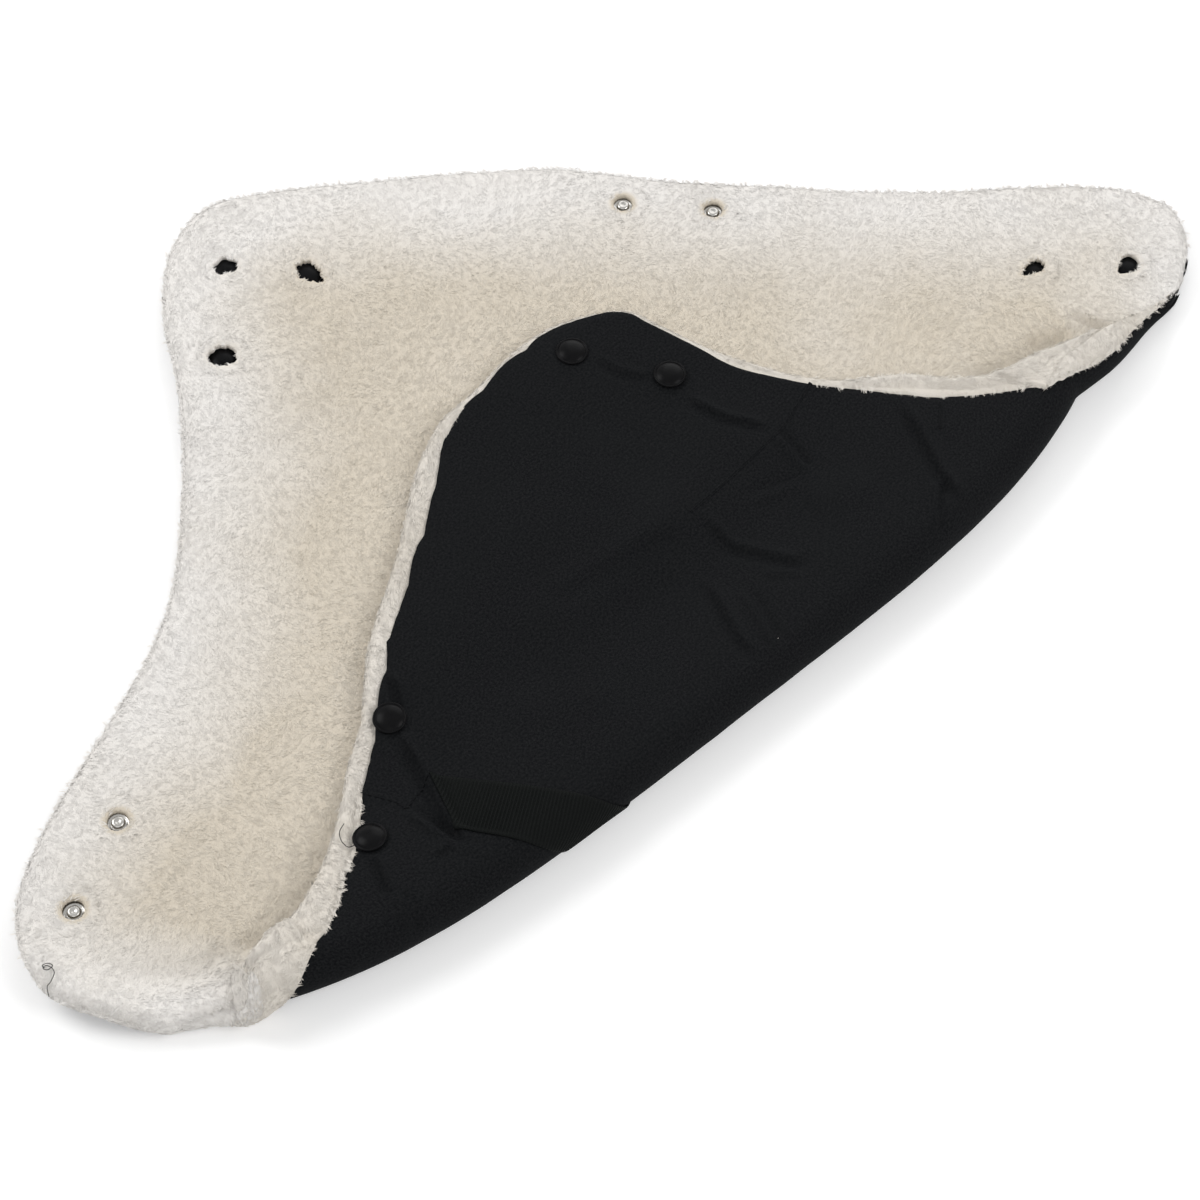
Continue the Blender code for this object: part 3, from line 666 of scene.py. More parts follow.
def on_shell(along, path):
    """Points of the creased face, and the way out at each: the cross product of its slopes down and along."""
    step = 0.0005
    run = creased_face(along + step, path) - creased_face(along - step, path)
    fall = creased_face(along, path + step) - creased_face(along, path - step)
    return creased_face(along, path), unit(np.cross(fall, run))


def fold_places(share, climb):
    """Distance along the fold, and back round the roll from its crest, of shares along and up it."""
    start, end = mix(FLOOR_START, CREST_START, climb), mix(FLOOR_END, FOLD_CREST_END, climb)
    return mix(start, end, share), (1.0 - climb) * np.pi * ROLL_RADIUS


def fold_sheet(share, climb, depth, creased=1.0):
    """A face of the roll at a depth in from its outside. Where climb is below 0 it lies on the ground, that
    share of the way back in under the crest, and it is lifted off the ground as the flat part is."""
    share, climb, depth = np.broadcast_arrays(share, climb, depth)
    up = np.maximum(climb, 0.0)
    along, path = fold_places(share, up)
    point = plain_face(along, path, creased * creases(along, path) * ease(up * 3.0 - 0.6) - depth)
    point[..., :2] += (2.0 * bow(along) * np.minimum(climb, 0.0))[..., None] * OUTWARD
    point[..., 2] += ground_rise(point[..., :2]) * (1.0 - up)
    return point


def climb_steps(under, side, top):
    """Shares up the roll: steps back in under the crest, steps up its side, and steps over its top."""
    return np.concatenate([np.linspace(-1.0, 0.0, under)[:-1], np.linspace(0.0, TOP_START, side)[:-1],
                           np.linspace(TOP_START, 1.0, top)])


def shell_places(share, up):
    """Shares along the fold of the shell's columns: in from the pile's near end, and higher up from its far
    end too."""
    span = mix(FLOOR_END - FLOOR_START, FOLD_CREST_END - CREST_START, up)
    far_out = mix(FAR_SHELL_OUT, -FLOOR_RIM, ease(up / TOP_START))
    return mix(near_rim(up) / span, 1.0 + far_out / span, share)


def flatten_with_fold(piece):
    """Gives the piece of the roll its own copy of its mesh."""
    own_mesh(piece)


COLUMNS = 300
climbs = climb_steps(6, 28, 24)
share = np.linspace(0.0, 1.0, COLUMNS)[:, None]
# How far along a column's top lies depends on how far up it is, so a few rounds settle both.
border = np.ones_like(share)
for _ in range(6):
    border = shell_reach(fold_places(shell_places(share, border), border)[0])
shell_climb = np.where(climbs > 0.0, climbs * border, climbs)
up = np.maximum(shell_climb, 0.0)
place = shell_places(share, up)
near = fold_sheet(place, shell_climb, 0.0)
far = fold_sheet(place, shell_climb, SHELL_THICKNESS)
along, path = fold_places(place, up)
values = np.stack([along, path - 2.0 * bow(along) * np.minimum(climbs, 0.0)], -1)
fold_shell = add_shell("shell_fold", near, far, values, "base", CUT_EDGE)
declare_cloth(values)
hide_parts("fold_shell")
flatten_with_fold(fold_shell)

RIM_SWELL = 0.0022
GROUND_CLEAR = 0.0002
# The pile starts to swell this far before the shell's end, and swells over this length.
SWELL_BEFORE, SWELL_LENGTH = 0.0020, 0.0035
RIM_TONE = 0.55
near_end = np.linspace(0.0, 0.06, 46)
far_end = 1.0 - 1.6 * near_end[::-1] - 0.004 * (near_end[::-1] > 0)
share = np.concatenate([near_end, np.linspace(0.06, 0.90, 86)[1:-1], far_end])[:, None]
climbs = climb_steps(5, 26, 24)
up = np.maximum(climbs, 0.0)[None]
along = fold_places(share, up)[0]
from_start = along - mix(FLOOR_START, CREST_START, up)
from_end = mix(FLOOR_END, FOLD_CREST_END, up) - along
from_edge = np.minimum(from_start, from_end)
past_shell = np.where(along < 0.0, near_rim(up) - from_edge, (up - shell_reach(along)) * np.pi * ROLL_RADIUS)
round_off = end_round(from_edge * EDGE_ROUND / mix(0.012, EDGE_ROUND, up))
bared = np.where(along < 0.0, 1.0, ease((1.0 - shell_reach(along)) / 0.05))
swell = RIM_SWELL * (bared * ease((past_shell + SWELL_BEFORE) / SWELL_LENGTH)) * round_off
middle, half = LINING_LOW + 0.5 * PILE_THICKNESS, 0.5 * PILE_THICKNESS
near = fold_sheet(share, climbs[None], middle - half * round_off - swell, 0.0)
near[..., 2] = np.maximum(near[..., 2], GROUND_CLEAR)
far = fold_sheet(share, climbs[None], middle + half * round_off, 0.0)
outside = (past_shell > 0.0012) & (climbs > 0.1)[None]
inside = (from_edge < 0.018) & (climbs > 0.2)[None]
fold_kept = slab_rings(outside, inside)[:-1]
pile_fold = add_piece("pile_fold", slab_rings(near, far), slab_faces(len(share), len(climbs)), pile_body,
                      "base")
add_values(pile_fold, "tone", np.full(2 * along.size, RIM_TONE))
path = fold_places(share, up)[1] - 2.0 * bow(along) * np.minimum(climbs, 0.0)
declare_cloth(np.stack([along, path], -1))
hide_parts("fold_lining")
flatten_with_fold(pile_fold)

# The turned corner: the shell on top, cut to the corner's outline, and pulled into creases by its seams,
# its snaps and the webbing sewn to it.
SHELL_EDGE = np.array([
    (-0.1130, -0.1765), (-0.1105, -0.1715), (-0.1073, -0.1620), (-0.1050, -0.1480), (-0.1023, -0.1360),
    (-0.1005, -0.1180), (-0.1003, -0.1040), (-0.0982, -0.0900), (-0.0963, -0.0725), (-0.0954, -0.0550),
    (-0.0925, -0.0400), (-0.0905, -0.0250), (-0.0860, -0.0060), (-0.0823, 0.0140), (-0.0775, 0.0320),
    (-0.0735, 0.0570), (-0.0710, 0.0750), (-0.0645, 0.0910), (-0.0527, 0.1067), (-0.0380, 0.1245),
    (-0.0220, 0.1383), (-0.0030, 0.1463), (0.0120, 0.1478), (0.0250, 0.1400), (0.0461, 0.1271),
    (0.0643, 0.1157), (0.0871, 0.1089), (0.1120, 0.1042), (0.1370, 0.0999), (0.1600, 0.0970),
    (0.1800, 0.0970), (0.1960, 0.0985), (0.2015, 0.1005), (0.2030, 0.1013),
])
PILE_EDGE = np.array([
    (-0.1445, -0.1890), (-0.1360, -0.1750), (-0.1265, -0.1665), (-0.1190, -0.1520), (-0.1140, -0.1360),
    (-0.1105, -0.1180), (-0.1085, -0.1010), (-0.1070, -0.0895), (-0.1030, -0.0720), (-0.1020, -0.0520),
    (-0.1013, -0.0360), (-0.0980, -0.0180), (-0.0940, -0.0020), (-0.0905, 0.0140), (-0.0870, 0.0350),
    (-0.0840, 0.0550), (-0.0790, 0.0730), (-0.0720, 0.0880), (-0.0570, 0.1055), (-0.0410, 0.1260),
    (-0.0240, 0.1405), (-0.0040, 0.1487), (0.0130, 0.1500), (0.0270, 0.1420), (0.0475, 0.1300),
    (0.0675, 0.1205), (0.0890, 0.1130), (0.1130, 0.1100), (0.1390, 0.1125), (0.1610, 0.1080),
    (0.1820, 0.1085), (0.1960, 0.1155), (0.2130, 0.1225), (0.2310, 0.1310),
])
# Each pucker of the shell's edge: its place, how deep it draws the edge in, and its half width.
PUCKERS = [
    (-0.0346, 0.1265, 0.0026, 0.0040), (-0.0545, 0.1040, 0.0014, 0.0060), (-0.0690, 0.0810, 0.0010, 0.0060),
    (-0.0742, 0.0520, 0.0012, 0.0050), (-0.0785, 0.0250, 0.0015, 0.0050), (-0.0850, -0.0015, 0.0012, 0.0050),
    (-0.0885, -0.0160, 0.0008, 0.0040), (-0.0918, -0.0330, -0.0020, 0.0036),
    (-0.0945, -0.0450, 0.0020, 0.0040), (-0.0972, -0.0800, 0.0012, 0.0040),
    (-0.0990, -0.1000, 0.0008, 0.0030), (0.0190, 0.1440, 0.0006, 0.0050),
    (0.0540, 0.1220, 0.0006, 0.0060), (0.0980, 0.1070, 0.0005, 0.0060), (0.1480, 0.0985, 0.0007, 0.0030),
    (0.1560, 0.0975, 0.0009, 0.0020),
]


def cloth_place(flat):
    """Distances along the fold and out from its crest of places on the turned corner's plan."""
    offset = flat - FOLD_MIDDLE
    along = offset @ ALONG
    return along, offset @ OUTWARD - bow(along)


EDGE_DROP, EDGE_DROP_WIDTH = 0.0009, 0.0040
COLUMNS, ROWS = 420, 110
share = np.linspace(0.0, 1.0, COLUMNS)
along = mix(CREST_START + CREST_RIM_START, CREST_END - CREST_RIM_END, share)
inner = by_fold(along, bow(along))
outer = curve_through(SHELL_EDGE, share)
line = outer - MIDDLE - inner
draw = 0.0003 * clouds(share, 0.0 * share, 0.018, 21) + 0.0002 * clouds(share, 0.0 * share, 0.006, 22)
for x, y, depth, width in PUCKERS:
    draw = draw + depth * np.exp(-np.linalg.norm(outer - (x, y), axis=1) / width)
shell_edge = outer - MIDDLE - unit(line) * draw[:, None]
place = cloth_place(between(inner, shell_edge, ROWS))
top = creased_face(*place)
from_edge = (1.0 - np.linspace(0.0, 1.0, ROWS))[None] * np.linalg.norm(shell_edge - inner, axis=1)[:, None]
top[..., 2] -= EDGE_DROP * np.clip(1.0 - from_edge / EDGE_DROP_WIDTH, 0.0, 1.0) ** 2
corner_share, corner_edge, corner_in = share, raised(shell_edge, top[:, -1, 2] + 0.0001), -raised(line, 0.0)
values = np.stack(place, -1)
flap_shell = add_shell("shell_corner", top, top - SHELL_THICKNESS * UP, values, "flap", CUT_EDGE)
declare_cloth(values)
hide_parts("flap_shell")

# Its lining, pile down, with the edge pile rolled up and out round the shell.
LOWER_ROWS, UPPER_ROWS = 60, 30
SHELL_ROOM = 0.0012
share = share - 0.019 * np.sin(2.0 * np.pi * share)
rim = np.linalg.norm(curve_through(PILE_EDGE, share) - curve_through(SHELL_EDGE, share), axis=1)
along = mix(CREST_START, CREST_END, share)
inner = by_fold(along, bow(along))
outer = curve_through(PILE_EDGE, share) - MIDDLE
line = outer - inner
length = np.linalg.norm(line, axis=1)
outer_way = line / length[:, None]
reach = np.minimum(np.maximum(rim + 0.001, 0.0045), 0.7 * length)
inset = outer - outer_way * reach[:, None]
from_edge = np.minimum(along - CREST_START, CREST_END - along)
rim_width = np.where(along < 0.0, CREST_RIM_START, CREST_RIM_END)
bare = ease((rim_width - from_edge) / 0.0025)
ends = end_round(from_edge)
end_swell = RIM_SWELL * ease((rim_width - from_edge + SWELL_BEFORE) / SWELL_LENGTH) * ends
swell = 0.0024 * ease((rim - 0.003) / 0.005)


def flap_faces(flat, ends, bare, end_swell):
    """Heights of the corner lining's upper and lower face, drawn together towards the ends of the sheet. The
    upper one keeps clear of the creased shell, and stands up past its end where it is bare."""
    plain = flap_height(flat)
    covered = plain + creases(*cloth_place(flat)) - SHELL_THICKNESS - SHELL_ROOM
    upper = mix(covered, plain - LINING_LOW, bare)
    lower = plain - LINING_LOW - PILE_THICKNESS - combed(flat)
    middle, half = 0.5 * (lower + upper), 0.5 * (upper - lower)
    return middle + half * ends + bare * end_swell, middle - half * ends


by_column = [values[:, None] for values in (ends, bare, end_swell)]
flat = between(inner, inset, LOWER_ROWS)
lower = raised(flat, flap_faces(flat, *by_column)[1])
arc = np.linspace(np.pi, 0.0, 18)[1:]
edge_rows = round_edge(inset, outer_way, reach, *flap_faces(inset, ends, bare, end_swell), arc)
edge_rows[..., 2] += swell[:, None] * np.maximum(np.sin(2.0 * arc), 0.0)
flat = between(inset, inner, UPPER_ROWS + 1)[:, 1:]
upper = raised(flat, flap_faces(flat, *by_column)[0])
rings = np.concatenate([lower, edge_rows, upper], axis=1)
size = rings.shape[1]
corner_kept = np.zeros((COLUMNS - 1, size), bool)
corner_kept[:, :LOWER_ROWS] = True
past_shell = (reach[:, None] * np.sin(arc) > 0.0022) | (arc > 0.5 * np.pi)
corner_kept[:, LOWER_ROWS:LOWER_ROWS + len(arc)] = past_shell[1:]
corner_kept[:, LOWER_ROWS:] |= (bare > 0.5)[1:, None]
pile_corner = add_piece("pile_corner", rings, tube_faces(COLUMNS, size), pile_body, "flap")


def corner_tone_and_shade(points):
    """How deep the painted shade of the corner's lining is, as on the flat part: as its rim at its edge,
    growing to 1 with the distance from it.
    """
    edge = curve_through(PILE_EDGE, np.linspace(0.0, 1.0, 90)) - MIDDLE
    flat = np.reshape(points, (-1, 3))[:, :2]
    nearest = np.min([np.hypot(flat[:, 0] - x, flat[:, 1] - y) for x, y in edge], axis=0)
    return RIM_TONE + (1.0 - RIM_TONE) * ease((nearest - 0.010) / 0.060)


tone = np.full((COLUMNS, size), RIM_TONE)
tone[:, :LOWER_ROWS] = corner_tone_and_shade(lower).reshape(COLUMNS, LOWER_ROWS)
add_values(pile_corner, "tone", tone)
values = np.stack(cloth_place(between(inner, outer, 20)), -1)
declare_cloth(values)
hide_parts("flap_lining")

# Past the fold's far end the shell wraps up the side of the edge pile, and runs out a little way on.
LIP_LINE = np.array([
    (0.2590, 0.1500, 0.0060), (0.2636, 0.1540, 0.0080), (0.2683, 0.1594, 0.0093), (0.2720, 0.1658, 0.0095),
    (0.2743, 0.1725, 0.0080), (0.2768, 0.1788, 0.0060), (0.2787, 0.1850, 0.0022),
])
# The lip's section: how far in from its line, and how high up from the lifted shell as a share of its height.
LIP_IN = np.array([0.0040, 0.0020, 0.0007, 0.0001, 0.0000, 0.0003, 0.0009, 0.0018])
LIP_UP = np.array([0.00, 0.00, 0.08, 0.25, 0.50, 0.74, 0.90, 1.00])
LIP_TUCK, LIP_LEAST = 0.0030, 0.0004
share = np.linspace(0.0, 1.0, 60)
lip = curve_through(LIP_LINE, share)
way = unit(np.gradient(lip[:, :2], axis=0))
inward = np.stack([-way[:, 1], way[:, 0]], -1)
tuck = LIP_TUCK * (1.0 - ease(share / 0.25))
flat = (lip[:, :2] - MIDDLE)[:, None] + inward[:, None] * (LIP_IN + tuck[:, None])[..., None]
low = ground_rise(flat)
height = mix(low, np.maximum(lip[:, 2:], low + LIP_LEAST), LIP_UP[None]) + GROUND_CLEAR
inside_face = raised(flat + inward[:, None] * SHELL_THICKNESS * 0.8, height + 0.3 * SHELL_THICKNESS)
rings = slab_rings(raised(flat, height), inside_face)
shell_lip = add_piece("shell_lip", rings, slab_faces(*height.shape), woven_black, "base",
                      CUT_EDGE)
cloth_map(shell_lip, rings[..., :2] + rings[..., 2:] * 0.5)
flatten_with_fold(shell_lip)

# Where the fold runs out, the pile of the flat part rises to the roll's, and at the near end the edge pile
# goes up round the roll's end in a plump bead.
MOUTH_COLUMNS, MOUTH_ROWS = 120, 50
FAR_MOUTH_START, FAR_MOUTH_END, NEAR_MOUTH_END = 0.212, 0.311, -0.205
# How far the wedge goes down into the flat pile, how thin it gets, and how far in its front edge is sunk.
MOUTH_DEPTH, MOUTH_LEAST, MOUTH_SUNK = 0.0035, 0.0005, 0.0008


def pile_mouth(name, along, width, roof, crest_out):
    """A closed wedge that eases up from the flat pile, a width in from the crest, to the roof at it."""
    inward = np.linspace(1.0, 0.0, MOUTH_ROWS)[None]
    flat = by_fold(along[:, None], (bow(along) + crest_out)[:, None] - width[:, None] * inward)
    ground = base_faces(flat, 1.0)[0]
    top = mix(ground - MOUTH_SUNK, roof(flat), ease(1.0 - inward))
    under = np.minimum(ground - MOUTH_DEPTH, top - MOUTH_LEAST)
    rings = slab_rings(raised(flat, top), raised(flat, under))
    piece = add_piece(name, rings, slab_faces(len(along), MOUTH_ROWS), pile_body, "base")
    add_values(piece, "tone", tone_and_shade_of(rings))
    flatten_with_fold(piece)
    return piece


def under_corner(flat, along):
    """Just below the corner's lining, rounded off as its end is."""
    from_end = np.minimum(along - CREST_START, CREST_END - along)[:, None]
    return flap_faces(flat, end_round(from_end), 0.0, 0.0)[1] - 0.0006


far_along = np.linspace(FAR_MOUTH_START, FAR_MOUTH_END, MOUTH_COLUMNS)
far_width = 0.016 + 0.016 * ease((far_along - 0.245) / 0.020) * ease((0.302 - far_along) / 0.025)


def far_roof(flat):
    """Under the corner's lining, and past its end level with the roll's crest, rounded off at the last."""
    ground = base_faces(flat, 1.0)[0] - 0.001
    crest = 2.0 * roll_radius(far_along) - LINING_LOW + RIM_SWELL
    past = ease((far_along - CREST_END + 0.001) / 0.004)[:, None]
    roof = mix(under_corner(flat, far_along), crest[:, None], past)
    shown = ease((far_along - FAR_MOUTH_START) / 0.012)
    shown = shown * end_round((FAR_MOUTH_END - far_along) * EDGE_ROUND / 0.010)
    return mix(ground, np.maximum(roof, ground), shown[:, None])


mouth_far = pile_mouth("pile_mouth_far", far_along, far_width, far_roof, 0.0 * far_along)
near_along = np.linspace(FLOOR_START + 0.004, NEAR_MOUTH_END, MOUTH_COLUMNS)
end_up = np.clip((near_along - FLOOR_START) / (CREST_START - FLOOR_START), 0.0, 1.0)
END_RADIUS = ROLL_RADIUS - LINING_LOW - 0.5 * PILE_THICKNESS
near_width = mix(0.018, 0.022, ease((near_along - CREST_START) / 0.010))


def near_roof(flat):
    """Along the middle of the roll's rounded end, and then under the corner's lining."""
    ground = base_faces(flat, 1.0)[0] - 0.001
    end = ROLL_RADIUS - END_RADIUS * np.cos(np.pi * end_up)
    past = ease((near_along - CREST_START + 0.001) / 0.003)[:, None]
    roof = mix(end[:, None], under_corner(flat, near_along), past)
    shown = ease((NEAR_MOUTH_END - near_along) / 0.012)[:, None]
    return mix(ground, np.maximum(roof, ground), shown)


mouth_near = pile_mouth("pile_mouth_near", near_along, near_width, near_roof,
                        END_RADIUS * np.sin(np.pi * end_up))


def rings_round(line, thick, side, over, sides):
    """Rings round a line: each point, plus its thickness times the cosine to the side and the sine over."""
    angle = np.linspace(0.0, 2.0 * np.pi, sides, endpoint=False)
    spokes = side[:, None] * np.cos(angle)[None, :, None] + over[:, None] * np.sin(angle)[None, :, None]
    return line[:, None] + thick[:, None, None] * spokes


BEAD_RADIUS = 0.0046
BEAD_COLUMNS, BEAD_SIDES = 70, 28
climb = np.linspace(0.16, 1.04, 12)
turn = np.pi * (1.0 - climb)
bead_along = mix(FLOOR_START + 0.006, CREST_START + 0.004, climb)
bead_points = raised(by_fold(bead_along, END_RADIUS * np.sin(turn)), ROLL_RADIUS + END_RADIUS * np.cos(turn))
BEAD_START = np.array([(-0.1830, -0.2070, 0.0050), (-0.1690, -0.2065, 0.0062), (-0.1570, -0.2045, 0.0070)])
bead_points = np.concatenate([BEAD_START - (*MIDDLE, 0.0), bead_points])
share = np.linspace(0.0, 1.0, BEAD_COLUMNS)
bead_line = curve_through(bead_points, share)
way = unit(np.gradient(bead_line, axis=0))
out = bead_line - (*by_fold(np.array(CREST_START), np.array(-0.010)), ROLL_RADIUS)
out = unit(out - (out * way).sum(1)[:, None] * way)
thick = BEAD_RADIUS * np.sqrt(np.clip(1.0 - (2.0 * share - 1.0) ** 8, 0.02, 1.0))
bead_rings = rings_round(bead_line, thick, out, np.cross(way, out), BEAD_SIDES)
bead = add_piece("pile_bead_near", bead_rings, tube_faces(BEAD_COLUMNS, BEAD_SIDES), pile_body, "base")
flatten_with_fold(bead)

# The hair of the pile: short locks, each of a few strands that lean together and bend over at the tip.
STRANDS = 7
STRAND_ROUNDNESS = 0.05
# Where a strand's points go in its own cell of its OFBake map.
STRAND_CELL = np.array([(0.5, 0.1), (0.5, 0.55), (0.15, 0.45), (0.85, 0.45), (0.5, 0.9)])
STRAND_POINTS = len(STRAND_CELL)
STRAND_FACES = np.array([[0, 2, 1], [0, 3, 2], [0, 1, 3], [1, 2, 4], [2, 3, 4], [3, 1, 4]])
LOCK_TURN, STRAND_TWIST = 0.34, 0.5
ROOT_DEPTH = 0.0006
DARK_STRANDS = 0.02
PIECE_LOCKS = 3600


def comb_way(points):
    """The way the pile lies at each point: an angle that turns slowly from place to place."""
    x, y = points[:, 0], points[:, 1]
    angle = -0.9 + 2.4 * clouds(x, y, 0.11, 31) + 1.3 * clouds(x, y, 0.031, 32)
    return np.stack([np.cos(angle), np.sin(angle), 0.0 * angle], -1)


def scatter(piece, cell, seed, kept):
    """Points on a piece with their normals, one in each small cell of space. Kept says which of the quads
    between its rings carry them, and the ends carry none."""
    mesh = piece.data
    mesh.calc_loop_triangles()
    count = len(mesh.loop_triangles)
    corners, polygon = np.empty(count * 3, np.int32), np.empty(count, np.int32)
    mesh.loop_triangles.foreach_get("vertices", corners)
    mesh.loop_triangles.foreach_get("polygon_index", polygon)
    points = np.empty(len(mesh.vertices) * 3, np.float32)
    mesh.vertices.foreach_get("co", points)
    a, b, c = np.moveaxis(points.reshape(-1, 3).astype(float)[corners.reshape(-1, 3)], 1, 0)
    cross = np.cross(b - a, c - a)
    area = 0.5 * np.linalg.norm(cross, axis=1)
    normal = cross / np.maximum(2.0 * area, 1e-12)[:, None]
    kept = np.ravel(kept)
    used = (polygon < len(kept)) & kept[np.minimum(polygon, len(kept) - 1)]
    random = np.random.default_rng(seed)
    count = int(4.0 * area[used].sum() / cell ** 2)
    chosen = random.choice(np.flatnonzero(used), count, p=area[used] / area[used].sum())
    s, t = random.random((2, count, 1))
    s, t = np.where(s + t > 1.0, 1.0 - s, s), np.where(s + t > 1.0, 1.0 - t, t)
    where = a[chosen] + (b - a)[chosen] * s + (c - a)[chosen] * t
    first = np.sort(np.unique(np.floor(where / cell).astype(int), axis=0, return_index=True)[1])
    return where[first], normal[chosen][first]


def add_locks(name, where, normal, way, body, seed, length=0.0032, rise=0.0002, spread=0.0021, width=0.00038,
              loose=True):
    """Locks of strands. Each strand is a root under the pile, a ring of three points round its raised middle,
    a share of the lock's length on, and a tip drawn a little to the lock's."""
    random = np.random.default_rng(seed)
    count = len(where)
    way = way - (way * normal).sum(1)[:, None] * normal
    way /= np.maximum(np.linalg.norm(way, axis=1), 1e-9)[:, None]
    angle = random.normal(0.0, LOCK_TURN, count)[:, None]
    side = np.cross(normal, way)
    way, side = way * np.cos(angle) + side * np.sin(angle), side * np.cos(angle) - way * np.sin(angle)
    shape = (count, STRANDS, 1)
    ways, sides, ups = way[:, None], side[:, None], normal[:, None]
    radius, turn = spread * np.sqrt(random.random(shape)), random.random(shape) * 2.0 * np.pi
    back, off = radius * np.cos(turn), radius * np.sin(turn)
    level = ease((ups[..., 2:] - 0.1) / 0.6) if loose else np.ones_like(ups[..., 2:])
    run = length * random.uniform(0.75, 1.2, (count, 1, 1)) * random.uniform(0.8, 1.15, shape)
    run = run * mix(0.8, 1.0, level)
    curl = 0.0006 * random.normal(size=(count, 1, 1)) + 0.0003 * random.normal(size=shape)
    lift = rise * random.uniform(0.7, 1.25, (count, 1, 1)) * random.uniform(0.8, 1.2, shape)
    middle = where[:, None]
    root = middle + ways * (back - 0.25 * run) + sides * off - ups * ROOT_DEPTH
    bend = middle + ways * (0.95 * back + 0.2 * run) + sides * (0.92 * off + 0.4 * curl) + ups * lift
    tip = middle + ways * (0.85 * back + 0.7 * run) + sides * (0.72 * off + 1.4 * curl)
    tip = tip + ups * lift * random.uniform(0.25, 0.9, shape)
    twist = random.normal(0.0, STRAND_TWIST, shape)
    broad, thick = sides * np.cos(twist) + ups * np.sin(twist), ups * np.cos(twist) - sides * np.sin(twist)
    wide = width * random.uniform(0.75, 1.25, shape)
    facing = ups + (0.9 if loose else 0.3) * UP
    facing = mix(0.5, 1.0, level) * facing / np.linalg.norm(facing, axis=-1)[..., None]
    roundness = mix(0.4, STRAND_ROUNDNESS, level)
    points, normals = [root], [facing + 0.0 * root]
    for corner in (0.5, 0.5 + 2.0 / 3.0, 0.5 + 4.0 / 3.0):
        across, over = np.cos(np.pi * corner), np.sin(np.pi * corner)
        points.append(bend + wide * (0.5 * across * broad + 0.16 * over * thick))
        normals.append(facing + roundness * (across * broad + over * thick))
    points.append(tip)
    normals.append(facing + 0.1 * ways + roundness * 0.3 * thick)
    points, normals = [np.stack(values, 2).reshape(-1, 3) for values in (points, normals)]
    points[:, 2] = np.maximum(points[:, 2], GROUND_CLEAR)
    faces = np.arange(count * STRANDS)[:, None, None] * STRAND_POINTS + STRAND_FACES[None]
    piece = add_piece(name, points, [faces.reshape(-1, 3)], pile_hair, body)
    piece.data.normals_split_custom_set_from_vertices(unit(normals).astype(np.float32))
    tint = 1.0 - 0.08 * random.random(shape) - 0.09 * random.random((count, 1, 1))
    tint = tint - 0.60 * (random.random(shape) < DARK_STRANDS)
    # How far up its strand each point is: the material paints the strand a little darker towards its root, as
    # shade deep in the pile.
    add_values(piece, "tip", np.tile([0.0, 0.7, 0.7, 0.7, 1.0], count * STRANDS))
    add_values(piece, "tint", np.repeat(tint.ravel(), STRAND_POINTS))
    cells = int(np.ceil(np.sqrt(count * STRANDS)))
    cell = np.stack(np.divmod(np.arange(count * STRANDS), cells), -1)[:, None]
    cloth_map(piece, (cell + STRAND_CELL[None]) / cells, "OFBake")
    tone = np.full(count, RIM_TONE)
    if name.startswith("pile_corner"):
        tone = corner_tone_and_shade(where)
    elif body == "base" and "fold" not in name:
        tone = tone_and_shade_of(where)
    add_values(piece, "tone", np.repeat(tone, STRAND_POINTS * STRANDS))
    return piece


def clear_of_snaps(where, distance):
    """True for the places that are further than a distance from every snap in the pile."""
    snaps = np.concatenate([PILE_CAPS, PILE_STUDS]) - MIDDLE
    return (np.linalg.norm(where[:, None, :2] - snaps[None], axis=2) > distance).all(axis=1)


def add_hair(prefix, where, normal, body, seed, **sizes):
    """Locks over a whole piece, in several pieces of like size, from one side to the other."""
    order = np.argsort(where[:, 0], kind="stable")
    parts = np.array_split(order, max(1, round(len(order) / PIECE_LOCKS)))
    made = []
    for number, part in enumerate(parts, 1):
        name, way = f"{prefix}_{number}", comb_way(where[part])
        made.append(add_locks(name, where[part], normal[part], way, body, seed + number, **sizes))
    return made


LOCK_CELL = 0.0027
HIDDEN_CELL = 0.0038
RING_REACH = 0.0118
where, normal = scatter(pile_flat, LOCK_CELL, 41, flat_kept)
kept = clear_of_snaps(where, RING_REACH - 0.0020)
add_hair("pile_flat_hair", where[kept], normal[kept], "base", 50)
where, normal = scatter(pile_corner, HIDDEN_CELL, 42, corner_kept & (np.arange(size) < LOWER_ROWS))
add_hair("pile_corner_hair", where, normal, "flap", 70)
where, normal = scatter(pile_corner, LOCK_CELL, 44, corner_kept & (np.arange(size) >= LOWER_ROWS))
add_hair("pile_rim_hair", where, normal, "flap", 80, length=0.0036, rise=0.00035, width=0.00036)
where, normal = scatter(pile_fold, LOCK_CELL, 43, fold_kept)
fold_hair = add_hair("pile_fold_hair", where, normal, "base", 90)
shown = np.zeros((MOUTH_COLUMNS - 1, 2 * MOUTH_ROWS), bool)
shown[:, 3:MOUTH_ROWS - 1] = (far_along > 0.232)[1:, None]
where, normal = scatter(mouth_far, LOCK_CELL, 45, shown)
fold_hair += add_hair("pile_mouth_far_hair", where, normal, "base", 92)
shown[:, 3:MOUTH_ROWS - 1] = (near_along < CREST_START + 0.004)[1:, None]
where, normal = scatter(mouth_near, LOCK_CELL, 46, shown)
fold_hair += add_hair("pile_mouth_near_hair", where, normal, "base", 93)
where, normal = scatter(bead, LOCK_CELL, 47, np.ones((BEAD_COLUMNS - 1, BEAD_SIDES), bool))
above = where[:, 2] > 0.004
fold_hair += add_hair("pile_bead_hair", where[above], normal[above], "base", 94)
for piece in fold_hair:
    flatten_with_fold(piece)

